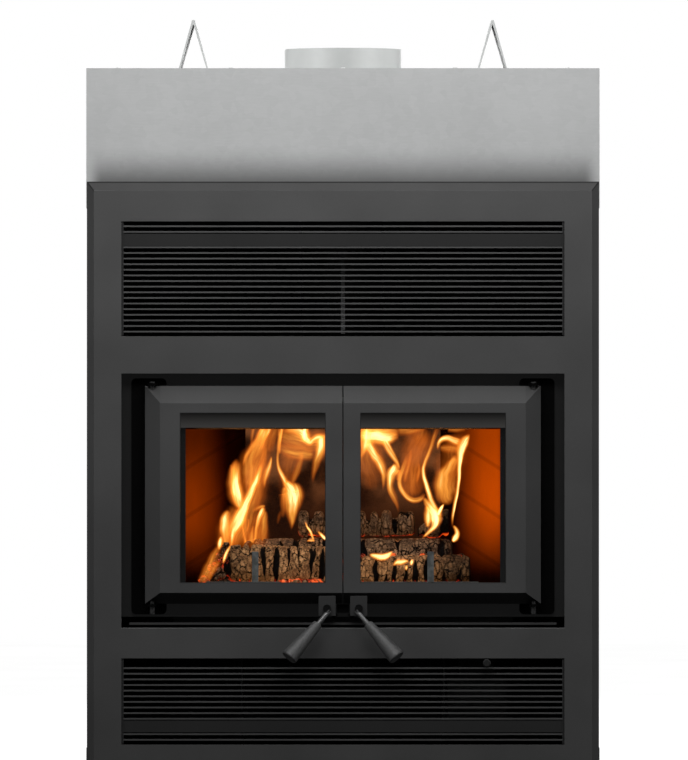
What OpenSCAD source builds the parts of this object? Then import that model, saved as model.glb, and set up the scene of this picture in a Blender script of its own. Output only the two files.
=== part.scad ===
// Zero clearance wood fireplace with double doors.
// X runs to the right, Y to the back and Z up. The origin is the middle of the underside.

/* [Casing] */
// Depth of the galvanised casing
casing_d = 600; // [570:1:720]
// How far the casing is wider than the faceplate
casing_extra_w = 3; // [1:0.5:20]
// Height of the galvanised header box
header_h = 260; // [180:1:320]
// How far the faceplate covers the header
face_overlap = 49; // [20:1:60]
// Height of the base tray
base_h = 41; // [20:1:46]
// Step from the header in to the lower sides
side_step = 8; // [4:0.5:14]
// Thickness of the galvanised sheet
sheet = 1.2; // [0.8:0.1:1.6]
// Width of the folded flanges
flange_w = 22; // [15:1:26]
// Thickness of the mineral wool
wool_t = 25; // [15:1:26]
// Radius of a sheet-metal screw
screw_r = 2; // [1.5:0.1:2.5]

/* [Chimney] */
// Outer radius of the chimney collar
collar_r = 110; // [95:1:130]
// Height of the collar above the casing
collar_h = 45; // [20:1:60]
// Inner radius of the flue pipe
flue_r = 75; // [60:1:85]
// Distance of the flue behind the middle of the casing
flue_back = 30; // [0:1:50]

/* [Stand-offs] */
// Height of a stand-off
standoff_h = 97; // [60:1:110]
// Distance of a stand-off from the middle
standoff_x = 281; // [240:1:320]
// Distance between the two legs
standoff_spread = 58; // [35:1:70]
// Length of a stand-off from front to back
standoff_len = 165; // [80:1:220]
// Thickness of the stand-off strap
strap_t = 2.4; // [1.5:0.1:4]

/* [Faceplate] */
// Width of the faceplate
face_w = 950; // [920:1:1050]
// Depth of the faceplate
face_depth = 32; // [26:1:40]
// Width and depth of its bevel at the sides
face_bevel = 13.3; // [8:0.1:16]
// Height of its bevel at the top
face_bevel_top = 16.7; // [8:0.1:20]
// Thickness of its sheet
face_t = 2; // [1.5:0.1:2.5]
// Height of its lower edge above the floor
face_foot = 6; // [0:1:12]
// Width of the three openings
open_w = 821.4; // [800:0.1:840]
// Height of the rail under the lower grille
rail_foot = 42; // [30:1:60]
// Height of the lower grille opening
low_grille_h = 160; // [140:1:190]
// Height of the rail between lower grille and doors
rail_low = 57; // [40:1:80]
// Height of the door opening
open_h = 471; // [460:1:520]
// Height of the rail between doors and upper grille
rail_mid = 69; // [50:1:90]
// Height of the upper grille opening
up_grille_h = 213; // [180:1:240]
// Height of the rail over the upper grille
rail_top = 74; // [60:1:100]

/* [Louvres] */
// Distance from slat to slat
slat_pitch = 10.42; // [9:0.01:14]
// Thickness of a slat
slat_t = 2.8; // [2:0.1:4]
// Depth of a slat
slat_d = 18; // [12:0.5:22]
// Height of the flat bar in each louvre
bar_h = 23; // [18:0.5:26]
// Thickness of the louvre end plates
cheek_t = 2; // [1.5:0.1:3]

/* [Doors] */
// Gap between the door edges and the sides of the opening
side_gap = 43.7; // [36:0.1:50]
// Gap over the doors
head_gap = 23; // [21:1:32]
// Gap under the doors
sill_gap = 44; // [42:1:50]
// Gap between the two doors
door_gap = 1.2; // [1:0.1:3]
// Thickness of a door
door_t = 30; // [28:1:34]
// How far the doors stand proud of the faceplate
door_proud = 14; // [4:1:20]
// Depth of the bevel round a door
bevel_d = 26; // [20:0.5:27]
// Width of the bevel at the hinge side
bevel_side = 28.3; // [20:0.1:32]
// Height of the bevel at the top
bevel_top = 31.5; // [20:0.1:34]
// Height of the bevel at the bottom
bevel_foot = 20.7; // [16:0.1:22]
// Width of the frame between glass opening and meeting edge
stile_in = 32.4; // [28:0.1:40]
// Width of the frame between glass opening and hinge edge
stile_out = 66; // [64:0.5:72]
// Height of the frame over the glass opening
stile_top = 50.5; // [48:0.5:60]
// Height of the frame under the glass opening
stile_foot = 40; // [38:0.5:48]
// Thickness of the door face round the glass
door_skin = 6; // [5:0.5:7]
// Thickness of the ceramic glass
glass_t = 5; // [4:0.5:6]
// Thickness of the glass gasket
gasket_t = 2.5; // [1.5:0.1:3]
// Radius of the door rope
rope_r = 5.6; // [4.5:0.1:5.8]

/* [Hinges and latch] */
// Distance from the hinge edge in to the hinge axis
hinge_in = 13.5; // [12:0.1:15]
// Distance from the back of a door forward to the hinge axis
hinge_fwd = 7; // [6:0.1:8]
// Radius of a hinge pin
pin_r = 4; // [3:0.1:4.2]
// Length of a hinge pin inside the door
pin_in = 30; // [20:1:36]
// Running clearance round pins and shafts
run_c = 0.06; // [0.02:0.01:0.1]
// Thickness of a hinge lug
lug_t = 5; // [4:0.5:6]
// Distance from the middle to a handle shaft
shaft_x = 29.5; // [28:0.5:34]
// Distance of the handle shafts under the doors
shaft_drop = 8; // [7.5:0.1:10]
// Radius of a handle shaft
shaft_r = 5; // [4:0.1:6]
// Angle of the handles below the horizontal at rest
handle_angle = 49; // [45:1:60]
// Length of a handle grip
grip_len = 85.3; // [60:0.1:90]
// Radius of the thick end of a grip
grip_r = 16; // [12:0.1:17]
// Radius of the thin end of a grip
grip_tip_r = 9; // [6:0.1:11]
// Length of a latch finger
finger_len = 24; // [22:0.5:25]

/* [Firebox] */
// Thickness of the steel plate
plate_t = 5; // [4:0.5:6]
// Depth of the fire chamber
fire_d = 425; // [380:1:440]
// Width of the rear brick between the side bricks
fire_back_w = 370; // [320:1:420]
// Thickness of the firebrick
brick_t = 32; // [25:1:38]
// Height of the steel firebox
shell_h = 487; // [470:1:500]
// Radius of an air tube
tube_r = 14; // [10:0.5:18]
// Thickness of the baffle board
baffle_t = 20; // [15:1:30]

/* [Air control] */
// Distance of the air knob from the middle
knob_x = 266.5; // [262:0.5:270]
// Radius of the air rod
rod_r = 4; // [3:0.1:5]
// Travel of the air rod
rod_travel = 45; // [30:1:45]
// Outer radius of the outside air collar
air_r = 50.8; // [45:0.1:54]

/* [Hidden] */
$fn = 64;
eps = 0.01;

// Levels of the faceplate, from the floor up
low_z0 = face_foot + rail_foot;
low_z1 = low_z0 + low_grille_h;
open_z0 = low_z1 + rail_low;
open_z1 = open_z0 + open_h;
up_z0 = open_z1 + rail_mid;
up_z1 = up_z0 + up_grille_h;
face_z1 = up_z1 + rail_top;

// Casing
casing_w = face_w + casing_extra_w;
half_w = casing_w / 2;
side_x1 = half_w - side_step;
flange_x = side_x1 - flange_w;
header_z0 = face_z1 - face_overlap;
casing_h = header_z0 + header_h;
front_y = -casing_d / 2;
back_y = casing_d / 2;
face_y = front_y - face_depth;
side_top_z = header_z0 + 17;
jacket_gap = 0.5;
jacket_x1 = side_x1 - sheet - 2 * jacket_gap - wool_t;
jacket_z1 = side_top_z;
jacket_back = 45;
rear_air = 10;
screw_head_r = 2 * screw_r;
screw_head_h = 1.5;
screw_len = 8;
neck_in = 0.6;
hole_fit = 0.3;

// Doors
door_x0 = door_gap / 2;
door_x1 = open_w / 2 - side_gap;
door_z0 = open_z0 + sill_gap;
door_z1 = open_z1 - head_gap;
door_y0 = face_y - door_proud;
door_y1 = door_y0 + door_t;
win_x0 = door_x0 + stile_in;
win_x1 = door_x1 - stile_out;
win_z0 = door_z0 + stile_foot;
win_z1 = door_z1 - stile_top;
glass_lap = 10;
glass_fit = 0.3;
retainer_t = 3;
glass_y0 = door_y0 + door_skin + gasket_t;
glass_y1 = glass_y0 + glass_t;

// Door rope and the rim that it closes on
seal_wall = 8;
seal_off = glass_lap + seal_wall + rope_r + 0.4;
rope_x = win_x1 + seal_off;
rope_z0 = win_z0 - seal_off;
rope_z1 = win_z1 + seal_off;
channel_d = 8;
rope_fit = 0.4;
rope_y = door_y1 - channel_d + rope_r + 0.2;
rim_t = 4;
rim_y0 = rope_y + rope_r + 0.3;
edge_rope_r = 3;
edge_y0 = door_y0 + 12;

// Hinges
axis_x = door_x1 - hinge_in;
axis_y = door_y1 - hinge_fwd;
bracket_x1 = open_w / 2 - 18;
bracket_x0 = axis_x - 26;
bracket_web = 38;
bracket_over = 14;
bracket_under = 20;
bracket_r = 9;
lug_gap = 0.4;
pin_head_r = pin_r + 1;
pin_head_low = 13.6;
pin_head_up = 2.6;
lug_r = 9;

// Latch
shaft_z = door_z0 - shaft_drop;
block_x0 = shaft_x - 16;
block_x1 = shaft_x + 15.5;
block_z0 = shaft_z - 14;
block_z1 = shaft_z + 23;
block_y0 = door_y0 + 2;
cam_t = 5;
cam_y0 = door_y1 + 2.5;
cam_r = 9;
finger_w = 10;
finger_angle = -45;
nut_t = 3;
catch_t = 3.4;
catch_y1 = cam_y0 - 0.6;
catch_half = 11.5;
catch_z1 = door_z0 - 1;
boss_r = 7.4;
boss_t = 8;
arm_r = 4.2;
arm_off = 6.2;
arm_tilt = 15;
grip_start = 32.6;

// Firebox
fire_y0 = front_y + plate_t;
fire_y1 = fire_y0 + fire_d;
mouth_x = win_x1 - 9;
mouth_z0 = win_z0 - 3;
mouth_z1 = win_z1 - 27;
fire_front_hw = mouth_x + 10;
fire_back_hw = fire_back_w / 2;
splay = (fire_front_hw - fire_back_hw) / fire_d;
splay_cos = cos(atan(splay));
brick_top = mouth_z0 - 6;
brick_fit = 0.5;
shell_z0 = brick_top - brick_t - plate_t;
shell_z1 = shell_z0 + shell_h;
jacket_y1 = fire_y1 + brick_t + plate_t + jacket_back;
side_brick_z1 = mouth_z1 - 3.5;
tube_z = side_brick_z1 + tube_r + 0.2;
baffle_z = tube_z + tube_r + 0.2;
front_plate_x = jacket_x1 - sheet;
front_plate_z0 = open_z0 + 19.5;
front_plate_z1 = open_z1 + 24;
ledge_z0 = open_z0 + 5.3;
ledge_t = 3.7;
ledge_x = open_w / 2 - 14.7;
stand_x = 150;
stand_w = 40;
stand_t = 3;

// Air supply
rod_z = low_z1 - 8.5;
duct_x0 = knob_x - 71.5;
duct_x1 = duct_x0 + 110;
duct_t = 1.5;
duct_z1 = rod_z - 29.5;
duct_z0 = duct_z1 - 108;
duct_y0 = front_y + 90;
air_x = (duct_x0 + duct_x1) / 2;
air_z = (duct_z0 + duct_z1) / 2;
air_reach = 40;
riser_x0 = knob_x - 49.5;
riser_x1 = riser_x0 + 66;
slot_y0 = duct_y0 + rod_travel + 21;
slot_y1 = slot_y0 + rod_travel - 1;
riser_y1 = slot_y1 + 10;
slot_x0 = riser_x0 + 10;
slot_x1 = riser_x1 - 10;
gate_t = 2;
gate_y0 = slot_y0 - 8;
gate_y1 = riser_y1 - 3;
knob_y0 = face_y - 20;

// Half the inside width of the fire chamber at depth y
function fire_x(y) = fire_front_hw - (y - fire_y0) * splay;
// The same line moved square to itself by d
function wall_x(y, d) = fire_x(y) + d / splay_cos;
// Heights of the slats above the edge of a louvre that its flat bar is near
slat_edge = 9;
bar_from = slat_edge + slat_pitch + 3.4;
slat_from = bar_from + bar_h + 2.2;
function slat_count(h) = floor((h - slat_from - slat_edge + 1) / slat_pitch) + 1;
function slat_levels(h) = concat([slat_edge, slat_edge + slat_pitch],
    [for (i = [0 : slat_count(h) - 1]) slat_from + i * slat_pitch]);
slat_x1 = open_w / 2 - 4;
slat_y0 = face_y + 1;

// A block between two corners
module span(a, b) {
    translate(a) cube(b - a);
}

// A cylinder along Y from y0 to y1
module rod_y(x, z, r, y0, y1) {
    translate([x, y0, z]) rotate([-90, 0, 0]) cylinder(r = r, h = y1 - y0);
}

// A cylinder along X from x0 to x1
module rod_x(y, z, r, x0, x1) {
    translate([x0, y, z]) rotate([0, 90, 0]) cylinder(r = r, h = x1 - x0);
}

// The same piece on the other side of the middle
module right_side(flip) {
    if (flip) mirror([1, 0, 0]) children();
    else children();
}

// A ring in the XZ plane, between y0 and y1
module frame_ring(x0, x1, z0, z1, w, y0, y1) {
    difference() {
        span([x0, y0, z0], [x1, y1, z1]);
        span([x0 + w, y0 - 1, z0 + w], [x1 - w, y1 + 1, z1 - w]);
    }
}

// Rows of screws: one along each long edge of a panel
screw_rows = 5;
function row(a, b, n) = [for (i = [0 : n - 1]) a + (b - a) * i / (n - 1)];
top_screw_x = row(-half_w + 60, half_w - 60, screw_rows);
top_screw_y = row(front_y + 60, back_y - 60, 4);
rear_screw_z = row(base_h + 60, casing_h - 60, 7);
screw_in = 10;

module screw() {
    cylinder(r = screw_head_r, h = screw_head_h, $fn = 6);
    translate([0, 0, -screw_len]) cylinder(r = screw_r, h = screw_len + eps, $fn = 24);
}

// Children at each screw of the top sheet, pointing up
module at_top_screws() {
    for (x = top_screw_x, y = [front_y + screw_in, back_y - screw_in])
        translate([x, y, casing_h]) children();
    for (y = top_screw_y, s = [-1, 1])
        translate([s * (half_w - screw_in), y, casing_h]) children();
}

// Children at each screw of the rear sheet, pointing back
module at_rear_screws() {
    for (z = rear_screw_z, s = [-1, 1])
        translate([s * (side_x1 - screw_in), z > header_z0 ? back_y : back_y - sheet, z])
            rotate([-90, 0, 0]) children();
}

module screw_hole() {
    translate([0, 0, -screw_len - 1]) cylinder(r = screw_r + 0.1, h = screw_len + 2, $fn = 24);
}

module base_pan() {
    color([0.16, 0.16, 0.16]) difference() {
        span([-half_w, front_y, 0], [half_w, back_y, base_h]);
        span([-half_w + sheet, front_y + sheet, sheet], [half_w - sheet, back_y - sheet, base_h + 1]);
    }
}

// Lower side of the casing, with flanges folded in at the front and the back
module side_panel() {
    x0 = side_x1 - sheet;
    color([0.66, 0.67, 0.68]) difference() {
        union() {
            span([x0, front_y + sheet, sheet], [side_x1, back_y - sheet, side_top_z]);
            span([flange_x, front_y + sheet, sheet],
                [side_x1, front_y + 2 * sheet, side_top_z]);
            span([flange_x, back_y - 2 * sheet, sheet],
                [side_x1, back_y - sheet, side_top_z]);
        }
        at_rear_screws() screw_hole();
    }
}

// Header: front sheet, two side sheets and the flanges that the other sheets sit on, parted
// along their folds by a hairline
seam = 0.15;
module header_panel() {
    x1 = half_w - sheet - seam;
    y0 = front_y + sheet + seam;
    y1 = back_y - sheet - seam;
    z1 = casing_h - sheet;
    z0 = z1 - sheet;
    color([0.7, 0.71, 0.72]) difference() {
        union() {
            span([-half_w, front_y, header_z0], [half_w, front_y + sheet, z1]);
            span([-x1, y0, z0], [x1, front_y + flange_w, z1]);
            for (s = [-1, 1]) mirror([(1 - s) / 2, 0, 0]) {
                span([half_w - sheet, y0, header_z0], [half_w, y1, z1]);
                span([half_w - flange_w, front_y + flange_w + seam, z0], [x1, y1, z1]);
                span([side_x1, y0, header_z0], [x1, y1, header_z0 + sheet]);
                span([flange_x, back_y - sheet, header_z0], [half_w, back_y, z1]);
                span([flange_x, back_y - 2 * sheet, side_top_z + jacket_gap],
                    [side_x1, back_y, z0 - jacket_gap]);
            }
        }
        at_top_screws() screw_hole();
        at_rear_screws() screw_hole();
    }
}

module rear_panel() {
    color([0.62, 0.63, 0.64]) difference() {
        span([-side_x1 + sheet, back_y - 3 * sheet, sheet],
            [side_x1 - sheet, back_y - 2 * sheet, casing_h - 2 * sheet]);
        rod_y(air_x, air_z, air_r - neck_in + hole_fit, back_y - 10, back_y + 1);
        at_rear_screws() screw_hole();
    }
}

module top_panel() {
    color([0.7, 0.71, 0.72]) difference() {
        span([-half_w, front_y, casing_h - sheet], [half_w, back_y, casing_h]);
        translate([0, flue_back, casing_h - 10])
            cylinder(r = collar_r - neck_in + hole_fit, h = 20, $fn = 96);
        at_top_screws() screw_hole();
    }
}

// Collar that the outside of the chimney slides over, with its flange under the top sheet
module chimney_collar() {
    z0 = casing_h - 13;
    color([0.75, 0.76, 0.77]) translate([0, flue_back, 0]) difference() {
        union() {
            translate([0, 0, casing_h]) cylinder(r = collar_r, h = collar_h, $fn = 96);
            translate([0, 0, z0]) cylinder(r = collar_r - neck_in, h = 14, $fn = 96);
            translate([0, 0, casing_h - 2 * sheet]) cylinder(r = collar_r + 17, h = sheet, $fn = 96);
        }
        translate([0, 0, z0 - 1]) cylinder(r = collar_r - neck_in - sheet, h = collar_h + 20, $fn = 96);
    }
}

// Pipe from the firebox roof to the chimney, with its welded flange
flue_t = 1.5;
module flue_pipe() {
    flue_h = casing_h + collar_h - 12 - shell_z1;
    color([0.5, 0.5, 0.52]) translate([0, flue_back, 0]) difference() {
        union() {
            translate([0, 0, shell_z1]) cylinder(r = flue_r + flue_t, h = flue_h);
            translate([0, 0, shell_z1]) cylinder(r = flue_r + 20, h = 3);
        }
        translate([0, 0, shell_z1 - 1]) cylinder(r = flue_r, h = flue_h + 2);
    }
}

// Strap bent to an upturned V, with its feet folded inwards
module standoff() {
    half = standoff_spread / 2;
    foot = half * 0.45;
    tip = strap_t;
    color([0.68, 0.69, 0.7])
        translate([standoff_x, standoff_len / 2, casing_h]) rotate([90, 0, 0])
            linear_extrude(standoff_len) polygon([
                [-half, 0], [-half + foot, 0], [-half + foot, strap_t], [-half + 1.4 * strap_t, strap_t],
                [0, standoff_h - 3 * strap_t], [half - 1.4 * strap_t, strap_t], [half - foot, strap_t],
                [half - foot, 0], [half, 0], [tip, standoff_h], [-tip, standoff_h]]);
}

// Flat tabs on the lower sides, to be bent out and fixed to the studs
tab_y = front_y + 40;
side_h = header_z0 - base_h;
tab_z = [base_h + 0.13 * side_h, header_z0 - 0.11 * side_h];
tab_hole_r = 2.5;
tab_pitch = 40;
tab_w = tab_pitch + 30;
tab_h = 36;
tab_t = 1.5;
module nailing_tabs() {
    color([0.72, 0.73, 0.74])
        for (s = [-1, 1], z = tab_z)
            difference() {
                span([min(s * side_x1, s * (side_x1 + tab_t)), tab_y - tab_w / 2, z - tab_h / 2],
                    [max(s * side_x1, s * (side_x1 + tab_t)), tab_y + tab_w / 2, z + tab_h / 2]);
                for (d = [-tab_pitch / 2, tab_pitch / 2])
                    rod_x(tab_y + d, z, tab_hole_r, s * side_x1 - 5, s * side_x1 + 5);
            }
}

module casing_screws() {
    color([0.8, 0.8, 0.82]) {
        at_top_screws() screw();
        at_rear_screws() screw();
    }
}

// Black sheets round the firebox, butted at the corners: room air rises between them and it
module air_jacket() {
    y0 = front_y + 2 * sheet + 0.3;
    y1 = jacket_y1;
    x0 = jacket_x1 - sheet;
    z0 = jacket_z1 - sheet;
    color([0.1, 0.1, 0.1]) {
        for (s = [-1, 1])
            span([min(s * x0, s * jacket_x1), y0, sheet], [max(s * x0, s * jacket_x1), y1, jacket_z1]);
        difference() {
            span([-x0 + seam, y1 - sheet, sheet], [x0 - seam, y1, z0 - seam]);
            span([duct_x0 - 0.3, y1 - 10, duct_z0 - 0.3], [duct_x1 + 0.3, y1 + 10, duct_z1 + 0.3]);
        }
        difference() {
            span([-x0 + seam, y0, z0], [x0 - seam, y1, jacket_z1]);
            translate([0, flue_back, z0 - 10]) cylinder(r = flue_r + flue_t + hole_fit, h = 20);
        }
    }
}

// Mineral wool slabs at the sides, behind and over the jacket. Those behind it are cut to
// fit round the duct, and those over it are two halves that meet at the flue.
module insulation() {
    x0 = jacket_x1 + jacket_gap;
    y1 = jacket_y1;
    y2 = back_y - 3 * sheet - rear_air;
    z0 = base_h + 4;
    z1 = jacket_z1 + jacket_gap;
    color([0.85, 0.82, 0.6]) {
        for (s = [-1, 1])
            span([min(s * x0, s * (x0 + wool_t)), front_y + 30, z0],
                [max(s * x0, s * (x0 + wool_t)), back_y - 30, header_z0 - 3]);
        for (slab = [[-jacket_x1, jacket_x1, duct_z1 + 0.5, header_z0 - 3],
                     [-jacket_x1, duct_x0 - 0.5, z0, duct_z1 + 0.5 - seam],
                     [duct_x1 + 0.5, jacket_x1, z0, duct_z1 + 0.5 - seam]])
            span([slab[0], y1 + jacket_gap, slab[2]], [slab[1], y2, slab[3]]);
        for (s = [-1, 1])
            difference() {
                span([min(s * seam / 2, s * jacket_x1), front_y + 30, z1],
                    [max(s * seam / 2, s * jacket_x1), y1, z1 + 2 * wool_t]);
                translate([0, flue_back, z1 - 1]) cylinder(r = flue_r + flue_t + 1, h = 2 * wool_t + 2);
            }
    }
}

// Channels that carry the firebox on the base
module firebox_stands() {
    color([0.12, 0.12, 0.12])
        for (s = [-1, 1])
            right_side(s < 0)
                translate([stand_x, fire_y0 + 60, sheet]) difference() {
                    cube([stand_w, fire_d - 60, shell_z0 - sheet]);
                    translate([-1, -1, stand_t])
                        cube([stand_w - stand_t + 1, fire_d, shell_z0 - sheet - 2 * stand_t]);
                }
}

// Outline of the firebox in plan, d outside the brick face and starting at y0
module fire_plan(d, y0, y1) {
    polygon([[-wall_x(y0, d), y0], [wall_x(y0, d), y0], [wall_x(y1, d), y1], [-wall_x(y1, d), y1]]);
}

module firebox_shell() {
    inner = brick_t + brick_fit;
    y1 = fire_y1 + inner;
    color([0.13, 0.13, 0.13]) difference() {
        translate([0, 0, shell_z0]) linear_extrude(shell_h)
            fire_plan(inner + plate_t, fire_y0, y1 + plate_t);
        translate([0, 0, shell_z0 + plate_t]) linear_extrude(shell_h - 2 * plate_t)
            fire_plan(inner, fire_y0 - 1, y1);
        translate([0, flue_back, shell_z1 - 10]) cylinder(r = flue_r + 1, h = 20);
        span([slot_x0, slot_y0, shell_z0 - 1], [slot_x1, slot_y1, shell_z0 + plate_t + 1]);
    }
}

// Front plate with the mouth of the firebox, and four bars on it as the rim that the door
// ropes close on
module firebox_front() {
    x0 = rope_x - rim_t / 2;
    x1 = rope_x + rim_t / 2;
    z0 = rope_z0 - rim_t / 2;
    z1 = rope_z1 + rim_t / 2;
    y1 = front_y - seam / 2;
    color([0.09, 0.09, 0.09]) {
        difference() {
            span([-front_plate_x, front_y, front_plate_z0], [front_plate_x, fire_y0, front_plate_z1]);
            span([-mouth_x, front_y - 1, mouth_z0], [mouth_x, fire_y0 + 1, mouth_z1]);
        }
        for (s = [-1, 1])
            span([min(s * x0, s * x1), rim_y0, z0], [max(s * x0, s * x1), y1, z1]);
        for (z = [z0, z1 - rim_t])
            span([-x0 + seam, rim_y0, z], [x0 - seam, y1, z + rim_t]);
    }
}

// Shelf under the doors, with an upstand that hangs it from the firebox floor
module ash_ledge() {
    y1 = fire_y0 + 35;
    color([0.11, 0.11, 0.11]) {
        span([-ledge_x, face_y + 4, ledge_z0], [ledge_x, y1, ledge_z0 + ledge_t]);
        span([-ledge_x + 80, y1 - ledge_t, ledge_z0], [ledge_x - 80, y1, shell_z0]);
    }
}

// C-shaped bracket on the front plate, with a lug over and one under the door
module hinge_bracket() {
    z0 = door_z0 - bracket_under;
    z1 = door_z1 + bracket_over;
    color([0.03, 0.03, 0.03]) difference() {
        union() {
            translate([0, front_y, 0]) rotate([90, 0, 0]) linear_extrude(plate_t) difference() {
                hull() {
                    for (x = [bracket_x0, bracket_x1], z = [z0, z1])
                        translate([x + (x < axis_x ? bracket_r : -bracket_r),
                            z + (z == z0 ? bracket_r : -bracket_r)]) circle(r = bracket_r, $fn = 32);
                }
                translate([bracket_x0 - 1, door_z0 + 6])
                    square([bracket_x1 - bracket_web - bracket_x0 + 1, door_z1 - door_z0 - 12]);
            }
            for (z = [door_z0 - lug_gap - lug_t, door_z1 + lug_gap])
                translate([0, 0, z]) {
                    translate([axis_x, axis_y, 0]) cylinder(r = lug_r, h = lug_t);
                    translate([axis_x - lug_r, axis_y, 0])
                        cube([2 * lug_r, front_y - plate_t - axis_y + eps, lug_t]);
                }
        }
        for (z = [door_z0 - lug_gap - lug_t - 1, door_z1 + lug_gap - 1])
            translate([axis_x, axis_y, z]) cylinder(r = pin_r + 0.05, h = lug_t + 2);
    }
}

module hinge_pins() {
    z0 = door_z0 - lug_gap - lug_t;
    z1 = door_z1 + lug_gap + lug_t;
    pin_len = pin_in + lug_gap + lug_t + eps;
    color([0.45, 0.45, 0.47])
        for (s = [-1, 1]) translate([s * axis_x, axis_y, 0]) {
            translate([0, 0, z0 - pin_head_low]) cylinder(r = pin_head_r, h = pin_head_low);
            translate([0, 0, z0 - eps]) cylinder(r = pin_r, h = pin_len);
            translate([0, 0, z1]) cylinder(r = pin_head_r, h = pin_head_up);
            translate([0, 0, door_z1 - pin_in]) cylinder(r = pin_r, h = pin_len);
        }
}

// Fixed T-shaped catch between the doors: the latch fingers turn in behind its head
module latch_catch() {
    z0 = shaft_z - 9;
    color([0.2, 0.2, 0.2]) {
        span([-catch_half, catch_y1 - catch_t, z0], [catch_half, catch_y1, catch_z1]);
        span([-2, catch_y1 - eps, z0], [2, front_y, catch_z1]);
    }
}

module floor_brick() {
    y1 = fire_y1 + brick_t;
    color([0.55, 0.42, 0.3]) translate([0, 0, brick_top - brick_t])
        linear_extrude(brick_t) fire_plan(brick_t, fire_y0 + 1, y1);
}

module side_brick() {
    y0 = fire_y0 + 1;
    color([0.6, 0.42, 0.26]) translate([0, 0, brick_top]) linear_extrude(side_brick_z1 - brick_top)
        polygon([[fire_x(y0), y0], [wall_x(y0, brick_t), y0],
            [wall_x(fire_y1, brick_t), fire_y1], [fire_x(fire_y1), fire_y1]]);
}

module rear_brick() {
    color([0.5, 0.36, 0.24]) translate([0, 0, brick_top]) linear_extrude(side_brick_z1 - brick_top)
        fire_plan(brick_t, fire_y1, fire_y1 + brick_t);
}

module baffle_board() {
    y0 = fire_y0 + 90;
    color([0.7, 0.66, 0.58]) translate([0, 0, baffle_z]) linear_extrude(baffle_t)
        fire_plan(brick_t, y0, fire_y1 + brick_t);
}

// Three drilled tubes across the top of the fire
tube_y = [for (share = [0.26, 0.52, 0.78]) fire_y0 + share * fire_d];
module air_tubes() {
    color([0.35, 0.34, 0.33])
        intersection() {
            for (y = tube_y)
                difference() {
                    rod_x(y, tube_z, tube_r, -half_w, half_w, $fn = 48);
                    rod_x(y, tube_z, tube_r - 2, -half_w - 1, half_w + 1, $fn = 48);
                    for (x = [-160 : 20 : 160])
                        rod_y(x, tube_z - 3, 2, y - tube_r - 2, y, $fn = 16);
                }
            translate([0, 0, tube_z - 50]) linear_extrude(100) fire_plan(brick_t, fire_y0, fire_y1);
        }
}

// Sloping strip over the mouth that sends air down the glass
module air_wash_plate() {
    x = rope_x - rim_t;
    z1 = rope_z1 - rim_t;
    y0 = rim_y0 + 1.3;
    color([0.14, 0.14, 0.14]) translate([-x, 0, 0]) rotate([90, 0, 90]) linear_extrude(2 * x)
        polygon([[front_y, z1], [front_y - 2, z1], [y0, mouth_z1], [y0 + 2, mouth_z1], [front_y, z1 - 8]]);
}

// Low bar across the mouth, with two upright posts
post_x = 163;
post_w = 12;
post_t = 8;
post_h = 65;
module log_retainer() {
    y0 = fire_y0 + 14;
    color([0.3, 0.33, 0.36]) {
        span([-mouth_x + 40, y0, brick_top], [mouth_x - 40, y0 + post_t, brick_top + 9]);
        for (s = [-1, 1])
            span([s * post_x - post_w / 2, y0, brick_top],
                [s * post_x + post_w / 2, y0 + post_t, brick_top + post_h]);
    }
}

// Split logs: two at the front, two behind them, and two pieces on top
log_gap = 0.3;
front_log_r = 33;
right_log_r = 28;
back_log_r = 44;
front_log_y = fire_y0 + 62;
front_log_x = 0.702 * fire_front_hw;
back_log_y = [for (share = [0.358, 0.579]) fire_y0 + share * fire_d];
top_log_y = back_log_y[0];
top_logs = [[-86, 134, 27], [143, 198, 27]];
module firewood() {
    z = brick_top + log_gap;
    color([0.4, 0.27, 0.16]) {
        rod_x(front_log_y, z + front_log_r, front_log_r, -front_log_x, -6, $fn = 32);
        rod_x(front_log_y, z + right_log_r, right_log_r, 10, front_log_x + 24, $fn = 32);
        for (y = back_log_y)
            rod_x(y, z + back_log_r, back_log_r, -fire_back_hw, fire_back_hw + 20, $fn = 32);
        for (log = top_logs)
            rod_x(top_log_y, z + 2 * back_log_r + log_gap + log[2], log[2], log[0], log[1], $fn = 32);
    }
}

// Folded black sheet with a bevelled edge and three openings
module face_solid(t) {
    hw = face_w / 2 - t;
    z0 = face_foot + t;
    z1 = face_z1 - t;
    y0 = face_y + t;
    intersection() {
        translate([0, 0, z0]) linear_extrude(z1 - z0) polygon([[-hw, front_y], [-hw, face_y + face_bevel],
            [-hw + face_bevel - t, y0], [hw - face_bevel + t, y0], [hw, face_y + face_bevel], [hw, front_y]]);
        translate([-hw, 0, 0]) rotate([90, 0, 90]) linear_extrude(2 * hw) polygon([[front_y, z0],
            [y0, z0], [y0, z1 - face_bevel_top + t], [face_y + face_bevel, z1], [front_y, z1]]);
    }
}

module faceplate() {
    lip = 0.8 * face_t;
    color([0.19, 0.19, 0.19]) difference() {
        face_solid(0);
        translate([0, eps, 0]) face_solid(face_t);
        for (o = [[low_z0, low_z1], [open_z0, open_z1], [up_z0, up_z1]])
            span([-open_w / 2, face_y - 1, o[0]], [open_w / 2, front_y + 1, o[1]]);
        translate([-open_w / 2, face_y, open_z0]) rotate([90, 0, 90]) linear_extrude(open_w)
            polygon([[-1, 1], [-1, -lip], [0, -lip], [lip, 0], [lip, 1]]);
    }
}

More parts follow.
